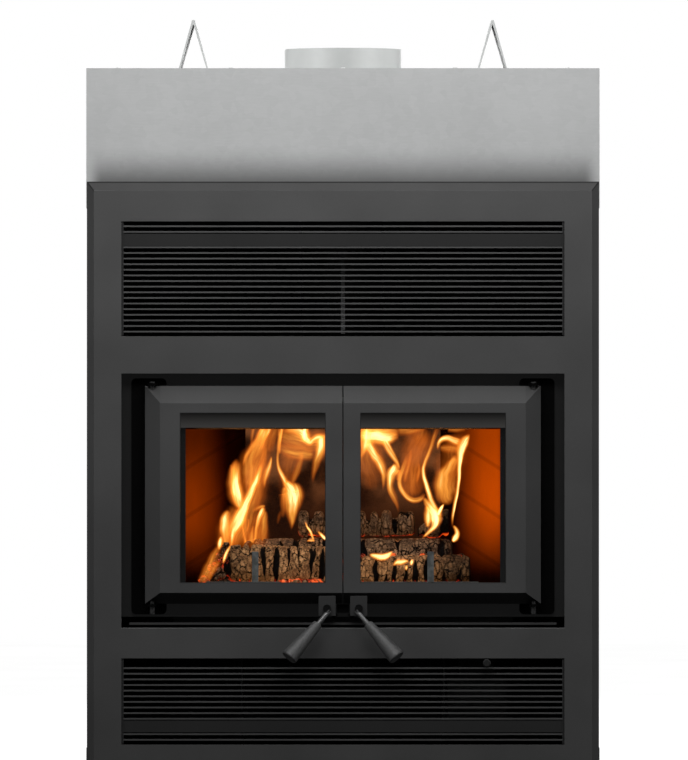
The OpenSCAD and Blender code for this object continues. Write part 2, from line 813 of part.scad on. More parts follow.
// Two end plates joined by a flat bar, in an opening from z0 of height h
cheek_w = 18;
module louvre_frame(z0, h, flip) {
    c0 = slat_x1;
    color([0.12, 0.12, 0.12]) translate([0, 0, flip ? z0 + h : z0])
        mirror([0, 0, flip ? 1 : 0]) {
        for (s = [-1, 1]) {
            span([min(s * c0, s * (c0 + cheek_t)), slat_y0, 2],
                [max(s * c0, s * (c0 + cheek_t)), slat_y0 + slat_d, h - 2]);
            span([min(s * c0, s * (c0 + cheek_w)), face_y + face_t + 2 * eps, 2],
                [max(s * c0, s * (c0 + cheek_w)), face_y + face_t + 1.5, h - 2]);
        }
        span([-c0 - eps, slat_y0 + 1.5, bar_from], [c0 + eps, slat_y0 + 3.5, bar_from + bar_h]);
    }
}

module slats(z0, h, flip) {
    color([0.25, 0.25, 0.25])
        for (z = slat_levels(h))
            translate([0, 0, flip ? z0 + h - z : z0 + z])
                span([-slat_x1, slat_y0, -slat_t / 2], [slat_x1, slat_y0 + slat_d, slat_t / 2]);
}

// Upright strap behind the slats of the upper louvre
module louvre_strap() {
    levels = slat_levels(up_grille_h);
    color([0.12, 0.12, 0.12]) {
        span([-3.75, slat_y0 + slat_d, up_z1 - levels[len(levels) - 1] - 4],
            [3.75, slat_y0 + slat_d + 2, up_z1 - bar_from]);
        span([-3.75, slat_y0 + 3, up_z1 - bar_from - bar_h + 1],
            [3.75, slat_y0 + slat_d + 2, up_z1 - bar_from - bar_h + 4]);
    }
}

module upper_louvre_frame() {
    louvre_frame(up_z0, up_grille_h, true);
    louvre_strap();
}

module outside_air_collar() {
    color([0.75, 0.76, 0.77]) {
        difference() {
            union() {
                rod_y(air_x, air_z, air_r, back_y - 2 * sheet, back_y + air_reach);
                rod_y(air_x, air_z, air_r - neck_in, back_y - 3 * sheet - 3, back_y - 2 * sheet + eps);
                rod_y(air_x, air_z, air_r + 3, back_y - 3 * sheet - 3, back_y - 3 * sheet);
            }
            rod_y(air_x, air_z, air_r - neck_in - sheet, back_y - 20, back_y + air_reach + 1);
        }
    }
}

// Duct along the base, with the riser up to the firebox floor
duct_foot_w = 20;
module air_duct() {
    y1 = back_y - 3 * sheet - 3;
    color([0.14, 0.14, 0.14]) difference() {
        union() {
            span([duct_x0, duct_y0, duct_z0], [duct_x1, y1, duct_z1]);
            span([riser_x0, duct_y0, duct_z1 - eps], [riser_x1, riser_y1, shell_z0]);
            for (y = [duct_y0 + duct_foot_w, jacket_y1 - 2 * duct_foot_w])
                span([air_x - duct_foot_w / 2, y, sheet], [air_x + duct_foot_w / 2, y + 3, duct_z0 + eps]);
        }
        span([duct_x0 + duct_t, duct_y0 + duct_t, duct_z0 + duct_t],
            [duct_x1 - duct_t, y1 + 1, duct_z1 - duct_t]);
        span([riser_x0 + duct_t, duct_y0 + duct_t, duct_z1],
            [riser_x1 - duct_t, riser_y1 - duct_t, shell_z0 + 1]);
        span([slot_x0, slot_y0, duct_z1 - 10], [slot_x1, slot_y1, duct_z1 + 1]);
        rod_y(knob_x, rod_z, rod_r + run_c, duct_y0 - 1, duct_y0 + duct_t + 1);
    }
}

// Rod from the knob to the gate, above the first slat of the lower louvre
module air_rod() {
    color([0.3, 0.3, 0.3]) rod_y(knob_x, rod_z, rod_r, knob_y0 + 10, gate_y0);
}

module air_knob() {
    color([0.05, 0.05, 0.05]) difference() {
        translate([knob_x, knob_y0, rod_z]) rotate([-90, 0, 0]) rotate_extrude($fn = 48)
            polygon([[0, 0], [5.5, 0], [7, 1.5], [7.6, 5], [7, 11], [5, 15], [0, 15]]);
        rod_y(knob_x, rod_z, rod_r, knob_y0 + 10, knob_y0 + 20);
    }
}

// Plate that slides over the slot in the duct, with the upstand that the rod ends in
module air_gate() {
    x0 = riser_x0 + duct_t + 1;
    x1 = riser_x1 - duct_t - 1;
    color([0.5, 0.51, 0.52]) {
        span([x0, gate_y0, duct_z1 + 0.3], [x1, gate_y1, duct_z1 + 0.3 + gate_t]);
        span([knob_x - 12, gate_y0, duct_z1 + 0.3], [knob_x + 12, gate_y0 + gate_t, rod_z + 6]);
    }
}

// Outer form of the right door: a slab with three bevelled edges
module door_solid() {
    y0 = door_y0;
    yb = door_y0 + bevel_d;
    intersection() {
        translate([0, 0, door_z0]) linear_extrude(door_z1 - door_z0) polygon([[door_x0, y0],
            [door_x1 - bevel_side, y0], [door_x1, yb], [door_x1, door_y1], [door_x0, door_y1]]);
        rotate([90, 0, 90]) linear_extrude(door_x1 + 1) polygon([[y0, door_z0 + bevel_foot], [yb, door_z0],
            [door_y1, door_z0], [door_y1, door_z1], [yb, door_z1], [y0, door_z1 - bevel_top]]);
    }
}

module door_frame() {
    lap = glass_lap + glass_fit;
    r = rope_r + rope_fit;
    y0 = door_y1 - channel_d;
    color([0.17, 0.17, 0.17]) difference() {
        door_solid();
        span([win_x0, door_y0 - 1, win_z0], [win_x1, door_y1 + 1, win_z1]);
        span([win_x0 - lap, door_y0 + door_skin, win_z0 - lap], [win_x1 + lap, door_y1 + 1, win_z1 + lap]);
        span([door_x0 + 7, y0, rope_z0 - r], [rope_x + r, door_y1 + 1, rope_z0 + r]);
        span([door_x0 + 7, y0, rope_z1 - r], [rope_x + r, door_y1 + 1, rope_z1 + r]);
        span([rope_x - r, y0, rope_z0 - r], [rope_x + r, door_y1 + 1, rope_z1 + r]);
        span([door_x0 - 1, edge_y0, door_z0 + 20],
            [door_x0 + 2 * edge_rope_r, edge_y0 + 2 * edge_rope_r + 0.4, door_z1 - 20]);
        for (z = [door_z0 - 1, door_z1 - pin_in - 1])
            translate([axis_x, axis_y, z]) cylinder(r = pin_r + run_c, h = pin_in + 2);
    }
}

module door_glass() {
    color([0.3, 0.3, 0.32, 0.35])
        span([win_x0 - glass_lap, glass_y0, win_z0 - glass_lap],
            [win_x1 + glass_lap, glass_y1, win_z1 + glass_lap]);
}

module glass_gasket() {
    color([0.25, 0.25, 0.24]) frame_ring(win_x0 - glass_lap, win_x1 + glass_lap, win_z0 - glass_lap,
        win_z1 + glass_lap, glass_lap - 1, glass_y0 - gasket_t, glass_y0);
}

module glass_retainer() {
    color([0.3, 0.3, 0.3]) frame_ring(win_x0 - glass_lap, win_x1 + glass_lap, win_z0 - glass_lap,
        win_z1 + glass_lap, glass_lap - 1, glass_y1, glass_y1 + retainer_t);
}

// Rope on three sides of the back, and a thinner one in the meeting edge
module door_rope() {
    edge_y = edge_y0 + 0.2 + edge_rope_r;
    color([0.22, 0.22, 0.21]) {
        for (z = [rope_z0, rope_z1]) {
            rod_x(rope_y, z, rope_r, door_x0 + 8, rope_x, $fn = 32);
            translate([rope_x, rope_y, z]) sphere(r = rope_r, $fn = 32);
        }
        translate([rope_x, rope_y, rope_z0]) cylinder(r = rope_r, h = rope_z1 - rope_z0, $fn = 32);
        translate([door_x0 + edge_rope_r - 0.2, edge_y, door_z0 + 21])
            cylinder(r = edge_rope_r - 0.1, h = door_z1 - door_z0 - 42, $fn = 24);
    }
}

// Square block under the meeting corner of the door, bored for the handle shaft
module latch_block() {
    color([0.2, 0.2, 0.2]) difference() {
        span([block_x0, block_y0, block_z0], [block_x1, door_y1 - 1, block_z1]);
        door_solid();
        rod_y(shaft_x, shaft_z, shaft_r + run_c, block_y0 - 1, door_y1 + 1);
    }
}

// Children in the frame of a handle: X runs along the arm, from the shaft outwards
module handle_frame() {
    translate([shaft_x, block_y0 - boss_t + 2, shaft_z]) rotate([0, handle_angle, 0])
        translate([0, 0, -arm_off]) rotate([0, 0, -arm_tilt]) children();
}

module handle_shaft() {
    color([0.13, 0.13, 0.13]) {
        rod_y(shaft_x, shaft_z, shaft_r, block_y0 - 1, cam_y0 + cam_t + nut_t);
        rod_y(shaft_x, shaft_z, boss_r, block_y0 - boss_t, block_y0 - 0.2);
        handle_frame() rotate([0, 90, 0]) cylinder(r = arm_r, h = grip_start / cos(arm_tilt), $fn = 32);
    }
}

module handle_grip() {
    color([0.33, 0.33, 0.33]) handle_frame() rotate([0, 90, 0]) translate([0, 0, grip_start / cos(arm_tilt)])
        rotate_extrude($fn = 64) polygon([[0, 0], [grip_tip_r - 1, 0], [grip_tip_r, 1],
            [grip_r, grip_len - 2], [grip_r - 1.6, grip_len], [0, grip_len]]);
}

// Finger behind the door on the end of the shaft, with its nut
module latch_cam() {
    color([0.4, 0.4, 0.42]) difference() {
        union() {
            translate([shaft_x, cam_y0 + cam_t, shaft_z]) rotate([90, 0, 0]) linear_extrude(cam_t) union() {
                circle(r = cam_r);
                rotate(180 - finger_angle) translate([0, -finger_w / 2]) square([finger_len, finger_w]);
            }
            rod_y(shaft_x, shaft_z, cam_r - 1, cam_y0 + 1, cam_y0 + cam_t + nut_t, $fn = 6);
        }
        rod_y(shaft_x, shaft_z, shaft_r, cam_y0 - 1, cam_y0 + cam_t + nut_t + 1);
    }
}

base_pan();
right_side(true) side_panel();  // side_panel_left
side_panel();  // side_panel_right
header_panel();
rear_panel();
top_panel();
chimney_collar();
flue_pipe();
right_side(true) standoff();  // standoff_left
standoff();  // standoff_right
nailing_tabs();
casing_screws();
air_jacket();
insulation();
firebox_stands();
firebox_shell();
firebox_front();
ash_ledge();
right_side(true) hinge_bracket();  // hinge_bracket_left
hinge_bracket();  // hinge_bracket_right
hinge_pins();
latch_catch();
floor_brick();
right_side(true) side_brick();  // side_brick_left
side_brick();  // side_brick_right
rear_brick();
baffle_board();
air_tubes();
air_wash_plate();
log_retainer();
firewood();
faceplate();
upper_louvre_frame();
slats(up_z0, up_grille_h, true);  // upper_slats
louvre_frame(low_z0, low_grille_h, false);  // lower_louvre_frame
slats(low_z0, low_grille_h, false);  // lower_slats
outside_air_collar();
air_duct();
air_rod();
air_knob();
air_gate();
right_side(true) door_frame();  // left_door_frame
right_side(true) door_glass();  // left_door_glass
right_side(true) glass_gasket();  // left_glass_gasket
right_side(true) glass_retainer();  // left_glass_retainer
right_side(true) door_rope();  // left_door_rope
right_side(true) latch_block();  // left_latch_block
right_side(true) handle_shaft();  // left_handle_shaft
right_side(true) latch_cam();  // left_latch_cam
right_side(true) handle_grip();  // left_handle_grip
door_frame();  // right_door_frame
door_glass();  // right_door_glass
glass_gasket();  // right_glass_gasket
glass_retainer();  // right_glass_retainer
door_rope();  // right_door_rope
latch_block();  // right_latch_block
handle_shaft();  // right_handle_shaft
latch_cam();  // right_latch_cam
handle_grip();  // right_handle_grip
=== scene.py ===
import math
import random

import bpy
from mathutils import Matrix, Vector, noise


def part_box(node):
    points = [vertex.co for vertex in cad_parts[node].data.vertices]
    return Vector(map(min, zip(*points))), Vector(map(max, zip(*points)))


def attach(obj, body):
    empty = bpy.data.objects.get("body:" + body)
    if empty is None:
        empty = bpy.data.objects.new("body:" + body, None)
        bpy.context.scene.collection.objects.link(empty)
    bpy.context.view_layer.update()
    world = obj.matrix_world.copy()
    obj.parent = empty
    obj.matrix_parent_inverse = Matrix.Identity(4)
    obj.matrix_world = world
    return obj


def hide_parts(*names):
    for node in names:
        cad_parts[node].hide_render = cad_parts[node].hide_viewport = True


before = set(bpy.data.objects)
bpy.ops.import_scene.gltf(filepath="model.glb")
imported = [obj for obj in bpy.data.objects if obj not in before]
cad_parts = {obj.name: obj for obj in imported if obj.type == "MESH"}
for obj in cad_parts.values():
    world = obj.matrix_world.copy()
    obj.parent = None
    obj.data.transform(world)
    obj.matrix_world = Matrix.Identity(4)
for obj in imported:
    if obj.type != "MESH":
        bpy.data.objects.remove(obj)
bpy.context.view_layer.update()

# Galvanised casing: header, side sheets, rear sheet and top sheet of zinc-coated
# steel, folded and screwed together. The zinc shows faint spangle and rolling marks.


class Amount:
    """A number, colour or vector that varies over a surface."""

    def __init__(self, finish, socket):
        self.finish = finish
        self.socket = socket

    def worked(self, operation, *values):
        return self.finish.node("ShaderNodeMath", {"operation": operation}, values)

    def __add__(self, other):
        return self.worked("ADD", self, other)

    def __sub__(self, other):
        return self.worked("SUBTRACT", self, other)

    def __rsub__(self, other):
        return self.worked("SUBTRACT", other, self)

    def __mul__(self, other):
        return self.worked("MULTIPLY", self, other)

    def __truediv__(self, other):
        return self.worked("DIVIDE", self, other)

    def __pow__(self, other):
        return self.worked("POWER", self, other)

    def __abs__(self):
        return self.worked("ABSOLUTE", self)

    __radd__ = __add__
    __rmul__ = __mul__

    def rise(self, low, high):
        """0 below low, 1 above high and smooth between them; low may be the greater."""
        settings = {"interpolation_type": "SMOOTHSTEP"}
        return self.finish.node("ShaderNodeMapRange", settings, [self, low, high, 0.0, 1.0])

    def blend(self, first, second):
        """first where this is 0, second where it is 1."""
        return self.finish.node("ShaderNodeMix", {"data_type": "RGBA"}, [self, first, second])


class Finish:
    """One surface finish: a shader, and the nodes for what varies over the surface."""

    def __init__(self, name, fixed):
        self.material = bpy.data.materials.new(name)
        self.material.use_nodes = True
        self.tree = self.material.node_tree
        self.shader = self.tree.nodes["Principled BSDF"]
        for socket, value in fixed.items():
            self.join(value, self.shader.inputs[socket])
        self.place = self.node("ShaderNodeTexCoord", output="Object")

    def join(self, value, socket):
        if isinstance(value, Amount):
            self.tree.links.new(value.socket, socket)
        elif isinstance(value, tuple) and socket.type == "RGBA":
            socket.default_value = (*value[:3], 1)
        else:
            socket.default_value = value

    def node(self, kind, settings=None, inputs=(), output=0):
        """The output of a new node, after its settings and then its sockets are set."""
        made = self.tree.nodes.new(kind)
        for name, value in (settings or {}).items():
            setattr(made, name, value)
        sockets = [s for s in made.inputs if s.enabled]
        named = inputs if isinstance(inputs, dict) else dict(enumerate(inputs))
        for key, value in named.items():
            found = sockets[key] if isinstance(key, int) else next(s for s in sockets if s.name == key)
            self.join(value, found)
        outs = [s for s in made.outputs if s.enabled]
        return Amount(self, outs[output] if isinstance(output, int) else made.outputs[output])

    def feed(self, socket, value):
        self.join(value, self.shader.inputs[socket])

    def axis(self, index):
        """The place along one axis, in metres."""
        return self.node("ShaderNodeSeparateXYZ", inputs=[self.place], output=index)

    def vector(self, operation, *values):
        return self.node("ShaderNodeVectorMath", {"operation": operation}, values)

    def scaled(self, x, y, z):
        return self.vector("MULTIPLY", self.place, (x, y, z))

    def grain(self, scale, detail=2.0, place=None, roughness=0.5, distortion=0.0):
        """Soft noise between 0 and 1, with scale in patches per metre."""
        values = {"Vector": place or self.place, "Scale": scale, "Detail": detail,
                  "Roughness": roughness, "Distortion": distortion}
        return self.node("ShaderNodeTexNoise", inputs=values)

    def cells(self, scale, feature="F1", place=None, output=0):
        values = {"Vector": place or self.place, "Scale": scale}
        return self.node("ShaderNodeTexVoronoi", {"feature": feature}, values, output)

    def bump(self, height, depth, filed=0.0):
        """Relief of that depth in metres, over edges filed round to the radius given."""
        values = {"Distance": depth, "Height": height}
        if filed:
            values["Normal"] = self.node("ShaderNodeBevel", {"samples": 4}, [filed])
        self.feed("Normal", self.node("ShaderNodeBump", inputs=values))

    def coat(self, *nodes):
        """Puts this finish on CAD nodes."""
        for name in nodes:
            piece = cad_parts[name]
            for slot in piece.material_slots:
                slot.material = self.material
            if not piece.material_slots:
                piece.data.materials.append(self.material)


def tone(red, green=None, blue=None):
    """A colour as it shows on a screen, from 0 to 255, as the light that makes it."""
    shown = [red, red if green is None else green, red if blue is None else blue]
    return tuple((c / 255 / 12.92) if c < 10.3 else ((c / 255 + 0.055) / 1.055) ** 2.4 for c in shown)


def zinc(name, bright, rough, metal, foot=None):
    """Zinc coating. On the front sheet, painted shade darkens it just above the faceplate, whose top is at
    foot.
    """
    finish = Finish(name, {"Metallic": metal, "Specular IOR Level": 0.5})
    spangle = finish.node("ShaderNodeSeparateColor", inputs=[finish.cells(70.0, output="Color")])
    rolled = finish.grain(40.0, 3.0, finish.scaled(1, 1, 9))
    cloud = finish.grain(5.0, 2.0)
    shade = 0.14 * spangle + 0.3 * rolled + 0.56 * cloud
    dull = tone(*[0.94 * c for c in bright])
    colour = shade.rise(0.25, 0.75).blend(dull, tone(*bright))
    # Painted shade: the front sheet is darkened in a band just above the faceplate, less towards both
    # sides.
    if foot:
        deepest_shade = 0.86
        shade_above = 0.070
        shade_below = 0.022
        front = finish.axis(1).rise(header_low.y + 0.006, header_low.y + 0.003)
        inward = (header_high.x - abs(finish.axis(0))).rise(-0.004, 0.030)
        foot_shade = 1 - deepest_shade * front * inward * finish.axis(2).rise(foot + shade_above, foot - shade_below)
        colour = foot_shade.blend((0, 0, 0), colour)
    finish.feed("Base Color", colour)
    finish.feed("Roughness", rough - 0.02 + 0.03 * spangle + 0.03 * cloud)
    finish.bump(rolled + 0.4 * finish.grain(900.0, 1.0), 0.00004)
    return finish


header_low, header_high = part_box("header_panel")
zinc("header_zinc", (176, 177, 177), 0.6, 0.1, foot=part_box("faceplate")[1].z).coat("header_panel")
zinc("casing_zinc", (176, 177, 177), 0.5, 0.35).coat(
    "top_panel", "side_panel_left", "side_panel_right", "rear_panel", "nailing_tabs")

# Chimney collar, flue pipe and the two stand-offs: bright rolled zinc for the collar,
# bent zinc strap for the stand-offs, and a seamed steel pipe inside the collar.

collar_zinc = zinc("collar_zinc", (206, 208, 207), 0.42, 0.12)
# Painted reflection: the collar is darker at its front and back and lighter towards its sides, with a
# little grain.
painted_sheen_and_grain = 0.8 * abs(collar_zinc.axis(0)).rise(0.004, 0.055) + 0.2 * collar_zinc.grain(60.0, 3.0)
collar_zinc.feed("Base Color", painted_sheen_and_grain.blend(tone(168, 170, 169), tone(207, 209, 208)))
collar_zinc.coat("chimney_collar")
zinc("strap_zinc", (186, 188, 187), 0.5, 0.0).coat("standoff_left", "standoff_right")
zinc("flue_steel", (60, 58, 56), 0.5, 0.6).coat("flue_pipe")

# Screws of the casing: self-tapping, zinc-plated, with small hexagon heads. They are driven
# through the top and rear sheets into the flanges.

zinc("screw_zinc", (226, 227, 226), 0.5, 0.2).coat("casing_screws")

# Base tray, jacket round the firebox, the stands under it and the duct that brings outside
# air: thin steel sheet, folded, spot-welded and sprayed matt black.


def black_paint(name, colour, rough, texture=0.00003, filed=0.0, shine=0.5):
    """Sprayed paint: a fine even orange peel, dull patches, and dust that lies on it."""
    finish = Finish(name, {"Specular IOR Level": shine})
    cloud = finish.grain(6.0, 4.0)
    speck = finish.grain(700.0, 2.0)
    wear = 0.12
    dusty = tuple(c * (1 + wear) + 0.0006 for c in colour)
    dark = tuple(c * (1 - wear) for c in colour)
    finish.painted = (0.65 * cloud + 0.35 * speck).rise(0.3, 0.7).blend(dark, dusty)
    finish.feed("Base Color", finish.painted)
    finish.feed("Roughness", rough - 0.05 + 0.08 * cloud + 0.04 * speck)
    finish.bump(speck + 0.5 * finish.grain(220.0, 1.0), texture, filed=filed)
    return finish


black_paint("sheet_black", tone(32), 0.6).coat("base_pan", "air_jacket", "firebox_stands", "air_duct")

# Mineral wool round the jacket: pressed slabs of yellow-brown fibre, cut to size and
# pushed in between the jacket and the casing.

wool = Finish("mineral_wool", {"Roughness": 0.95, "Sheen Weight": 0.2})
fibre = wool.grain(160.0, 5.0, wool.scaled(1, 1, 6), distortion=1.5)
wool.feed("Base Color", fibre.rise(0.3, 0.7).blend(tone(128, 112, 70), tone(196, 182, 134)))
wool.bump(fibre, 0.0015)
wool.coat("insulation")

# Firebox steel: welded 5 mm plate with its front plate, ash ledge, air-wash plate, latch
# catch and latch cams, all in heat-proof matt black. The hinge brackets are bolted to the
# front plate, and their pins carry the doors.

black_paint("stove_black", tone(9), 0.65, 0.00006, shine=0.1).coat(
    "latch_catch", "firebox_shell", "left_latch_cam", "right_latch_cam")
front_plate = black_paint("front_plate_black", tone(16), 0.65, 0.00006, shine=0.1)
# Painted light: the front plate glows faintly, in place of the room light that reaches into the recess.
painted_room_light = front_plate.grain(6.0, 4.0).blend(tone(14), tone(18))
front_plate.feed("Emission Color", painted_room_light)
front_plate.feed("Emission Strength", 1.0)
front_plate.coat("firebox_front")
black_paint("ledge_black", tone(43), 0.5).coat("ash_ledge")

wash_low, wash_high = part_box("air_wash_plate")
wash = Finish("air_wash_plate", {"Roughness": 0.8, "Specular IOR Level": 0.1, "Emission Strength": 1.0})
wash_cloud = wash.grain(40.0, 3.0)
wash.feed("Base Color", wash_cloud.rise(0.3, 0.7).blend(tone(10), tone(14)))
# Painted firelight: the plate glows more towards its lower edge, nearest the fire.
painted_firelight = wash.axis(2).rise(wash_high.z - 0.008, wash_low.z - 0.006)
wash.feed("Emission Color", painted_firelight.blend(tone(0), tone(58, 57, 56)))
wash.bump(wash_cloud, 0.0001)
wash.coat("air_wash_plate")
# The brackets are painted near black, darker than the firebox steel, as painted shade round the door
# hinges.
black_paint("bracket_black", tone(3), 0.7, 0.00005, shine=0.04).coat(
    "hinge_bracket_left", "hinge_bracket_right")
black_paint("pin_black", tone(26), 0.5).coat("hinge_pins")

# Firebrick lining: pressed refractory slabs with scored joints. The firelight on the bricks is painted
# in as a glow: on the side bricks it is strongest halfway up and near the front, and fades out low down.


def firebrick(name, colour):
    """A brick finish with its fine pores and its large patches."""
    finish = Finish(name, {"Specular IOR Level": 0.0, "Emission Strength": 1.0})
    pores = finish.grain(420.0, 4.0)
    patch = finish.grain(14.0, 4.0)
    sooted = tuple(0.45 * c for c in colour)
    finish.feed("Base Color", (0.4 * pores + 0.6 * patch).rise(0.32, 0.66).blend(sooted, colour))
    finish.feed("Roughness", 0.82 + 0.12 * pores)
    return finish, pores, patch


def glowing_side(side, peak, low_z, full_z, top_level, front_level, back_y):
    """A side brick with painted firelight; side is -1 for the left, and peak the strongest painted glow.

    The painted glow sets in between the heights low_z and full_z, drops to top_level at the top and
    to front_level at the mouth, and is gone at the depth back_y."""
    hand = "left" if side < 0 else "right"
    finish, pores, patch = firebrick("brick_glow_" + hand, tone(40, 12, 3))
    depth = finish.axis(1)
    height = finish.axis(2)
    box_low, box_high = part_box("side_brick_" + hand)
    slope = 0.175
    first_joint = 0.371
    course = 0.091
    climb = (height - slope * (depth - box_low.y) - first_joint) / course
    scored = abs(climb.worked("FRACT", climb) - 0.5).rise(0.43, 0.48)
    fade_low = height.rise(low_z, full_z)
    fade_top = 1 - (1 - top_level) * height.rise(full_z + 0.02, box_high.z)
    fade_back = depth.rise(back_y, box_low.y + 0.085)
    fade_front = front_level + (1 - front_level) * depth.rise(box_low.y, box_low.y + 0.06)
    painted_light = fade_low * fade_top * fade_back * fade_front
    flicker = 0.80 + 0.28 * patch + 0.12 * pores
    level = painted_light * flicker * (1 - 0.24 * scored) * peak
    green = 0.118
    blue = 0.0005
    colour = finish.node("ShaderNodeCombineColor", inputs=[level, green * level, blue * level])
    finish.feed("Emission Color", colour)
    finish.bump(pores - 2.5 * scored, brick_relief)
    finish.coat("side_brick_" + hand)


brick_relief = 0.0009
glowing_side(-1, peak=0.215, low_z=0.352, full_z=0.470, top_level=0.30, front_level=0.75, back_y=0.02)
glowing_side(1, peak=0.53, low_z=0.352, full_z=0.500, top_level=0.72, front_level=0.45, back_y=0.06)

rear_brick, rear_pores, rear_patch = firebrick("brick_rear", tone(70, 50, 38))
# Painted firelight: the rear brick glows in patches on its upper part.
rear_painted_glow = rear_patch.rise(0.36, 0.66) * rear_brick.axis(2).rise(0.45, 0.56)
rear_brick.feed("Emission Color", rear_painted_glow.blend(tone(20, 11, 7), tone(108, 64, 36)))
rear_brick.bump(rear_pores, brick_relief)
rear_brick.coat("rear_brick")

floor_brick, floor_pores, floor_patch = firebrick("brick_floor", tone(92, 78, 66))
# Painted firelight: the floor brick glows in patches.
floor_brick.feed("Emission Color", floor_patch.rise(0.45, 0.65).blend(tone(16, 9, 6), tone(66, 26, 12)))
floor_brick.bump(floor_pores, brick_relief)
floor_brick.coat("floor_brick")

# Baffle board and secondary air tubes at the top of the firebox: a pressed ceramic
# board laid on drilled steel tubes, all stained by smoke.

baffle = Finish("baffle_board", {"Roughness": 0.95})
stain = baffle.grain(9.0, 5.0)
baffle.feed("Base Color", stain.rise(0.35, 0.7).blend(tone(40, 34, 28), tone(170, 160, 142)))
baffle.bump(baffle.grain(300.0, 3.0), 0.0006)
baffle.coat("baffle_board")

heat_steel = Finish("heat_steel", {"Metallic": 0.75})
scale_spots = heat_steel.grain(60.0, 5.0)
heat_steel.feed("Base Color", scale_spots.rise(0.35, 0.65).blend(tone(58, 46, 40), tone(108, 102, 98)))
heat_steel.feed("Roughness", 0.5 + 0.25 * scale_spots)
heat_steel.bump(scale_spots, 0.0002)
heat_steel.coat("air_tubes")

# Log retainer: a low steel bar with two upright posts welded on, behind the mouth. The
# heat has blued it, and it keeps the logs off the glass.

blued = Finish("blued_steel", {"Metallic": 0.35, "Emission Strength": 1.0})
blue_patch_and_glow = blued.grain(90.0, 4.0)
blued.feed("Base Color", blue_patch_and_glow.rise(0.35, 0.65).blend(tone(50, 54, 56), tone(78, 82, 84)))
blued.feed("Roughness", 0.45 + 0.2 * blue_patch_and_glow)
# Painted light: the retainer also glows faintly grey, in place of the firelight on it.
blued.feed("Emission Color", blue_patch_and_glow.rise(0.3, 0.7).blend(tone(40, 40, 38), tone(58, 58, 54)))
blued.bump(blue_patch_and_glow, 0.0002)
blued.coat("log_retainer")

# Firewood: split logs with thick bark that has dried, cracked across and charred. The
# ends and undersides glow where they burn. They lie across the firebox on the floor brick,
# and slabs of bark stand on the middle one.


def catmull(points, steps):
    """A smooth run of points through the ones given, each a tuple of numbers."""
    ends = [points[0], *points, points[-1]]
    run = []
    for a, b, c, d in zip(ends, ends[1:], ends[2:], ends[3:]):
        for i in range(steps):
            t = i / steps
            run.append(tuple(
                0.5 * (2 * q + (r - p) * t + (2 * p - 5 * q + 4 * r - s) * t * t
                       + (3 * q - p - 3 * r + s) * t ** 3)
                for p, q, r, s in zip(a, b, c, d)))
    return run + [tuple(points[-1])]


def placed(name, data):
    """A thing in the scene that shows a mesh, a lamp or a camera."""
    thing = bpy.data.objects.new(name, data)
    bpy.context.scene.collection.objects.link(thing)
    return thing


def new_piece(name, verts, faces, amounts, finish, body, smooth=True):
    """A mesh piece on a body, with the amounts stored at its vertices under their names."""
    mesh = bpy.data.meshes.new(name)
    mesh.from_pydata(verts, [], faces)
    for label, values in amounts.items():
        kind = "FLOAT_VECTOR" if isinstance(values[0], tuple) else "FLOAT"
        field = mesh.attributes.new(label, kind, "POINT")
        if kind == "FLOAT":
            field.data.foreach_set("value", values)
        else:
            field.data.foreach_set("vector", [n for v in values for n in v])
    mesh.polygons.foreach_set("use_smooth", [smooth] * len(mesh.polygons))
    mesh.validate()
    mesh.materials.append(finish.material)
    piece = placed(name, mesh)
    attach(piece, body)
    return piece


def stored(finish, label, output="Fac"):
    """The number stored at each vertex of a piece under that label."""
    return finish.node("ShaderNodeAttribute", {"attribute_name": label}, output=output)


def bark_finish(name, light, dark, painted_light):
    """Bark that is light on its plates and dark between them. The last argument is firelight painted on it
    as a glow, and its outer ends and right side are darkened as painted shade.
    """
    finish = Finish(name, {"Specular IOR Level": 0.1, "Emission Strength": 1.0})
    char = stored(finish, "char")
    ember = stored(finish, "ember")
    patch = finish.grain(70.0, 4.0)
    grit = finish.grain(330.0, 5.0, roughness=0.65)
    swirl = finish.node("ShaderNodeTexNoise", inputs={"Scale": 90.0}, output="Color")
    bent = finish.vector("ADD", finish.place, finish.vector("MULTIPLY", swirl, (0.009, 0.009, 0.009)))
    bent = finish.vector("MULTIPLY", bent, (2.0, 1.0, 0.85))
    check = finish.cells(64.0, "DISTANCE_TO_EDGE", bent).rise(0.13, 0.03)
    check = check * patch.rise(0.40, 0.52)
    black = (char.rise(0.26, 0.56) + 0.92 * check).rise(0.05, 0.95)
    wood = (0.6 * patch + 0.4 * grit).rise(0.36, 0.64).blend(dark, light)
    # Painted shade: the bark darkens towards the outer ends and on the right side.
    outer_painted_shade = 0.45 * abs(finish.axis(0)).rise(0.14, 0.21)
    right_painted_shade = 0.22 * finish.axis(0).rise(0.08, 0.14)
    painted_log_shade = outer_painted_shade + right_painted_shade
    surface = (black + painted_log_shade).rise(0.0, 1.0).blend(wood, tone(11, 9, 8))
    finish.feed("Base Color", surface)
    finish.feed("Roughness", 0.78 + 0.2 * grit)
    hot = (ember * 1.5 - 0.55 + 0.7 * grit).rise(0.35, 0.95) * (1 - 0.8 * check)
    coals = hot.rise(0.25, 1.0).blend(tone(140, 22, 6), tone(250, 92, 24))
    # Painted firelight: the bark glows with its own colour times the last argument.
    painted_glow = finish.vector("MULTIPLY", surface, painted_light)
    finish.feed("Emission Color", hot.rise(0.02, 0.3).blend(painted_glow, coals))
    finish.bump(grit - 0.9 * check - 0.5 * char, 0.0016)
    return finish


# The last colours are painted firelight, stronger on the front logs.
front_bark = bark_finish("log_bark", tone(188, 150, 108), tone(84, 60, 40), (0.46, 0.31, 0.19))
char_bark = bark_finish("log_char", tone(160, 130, 100), tone(62, 48, 38), (0.30, 0.21, 0.14))


def tube_faces(rings, around):
    """The faces between rings of points that follow on one another."""
    return [(i * around + k, i * around + (k + 1) % around, (i + 1) * around + (k + 1) % around,
             (i + 1) * around + k) for i in range(rings - 1) for k in range(around)]


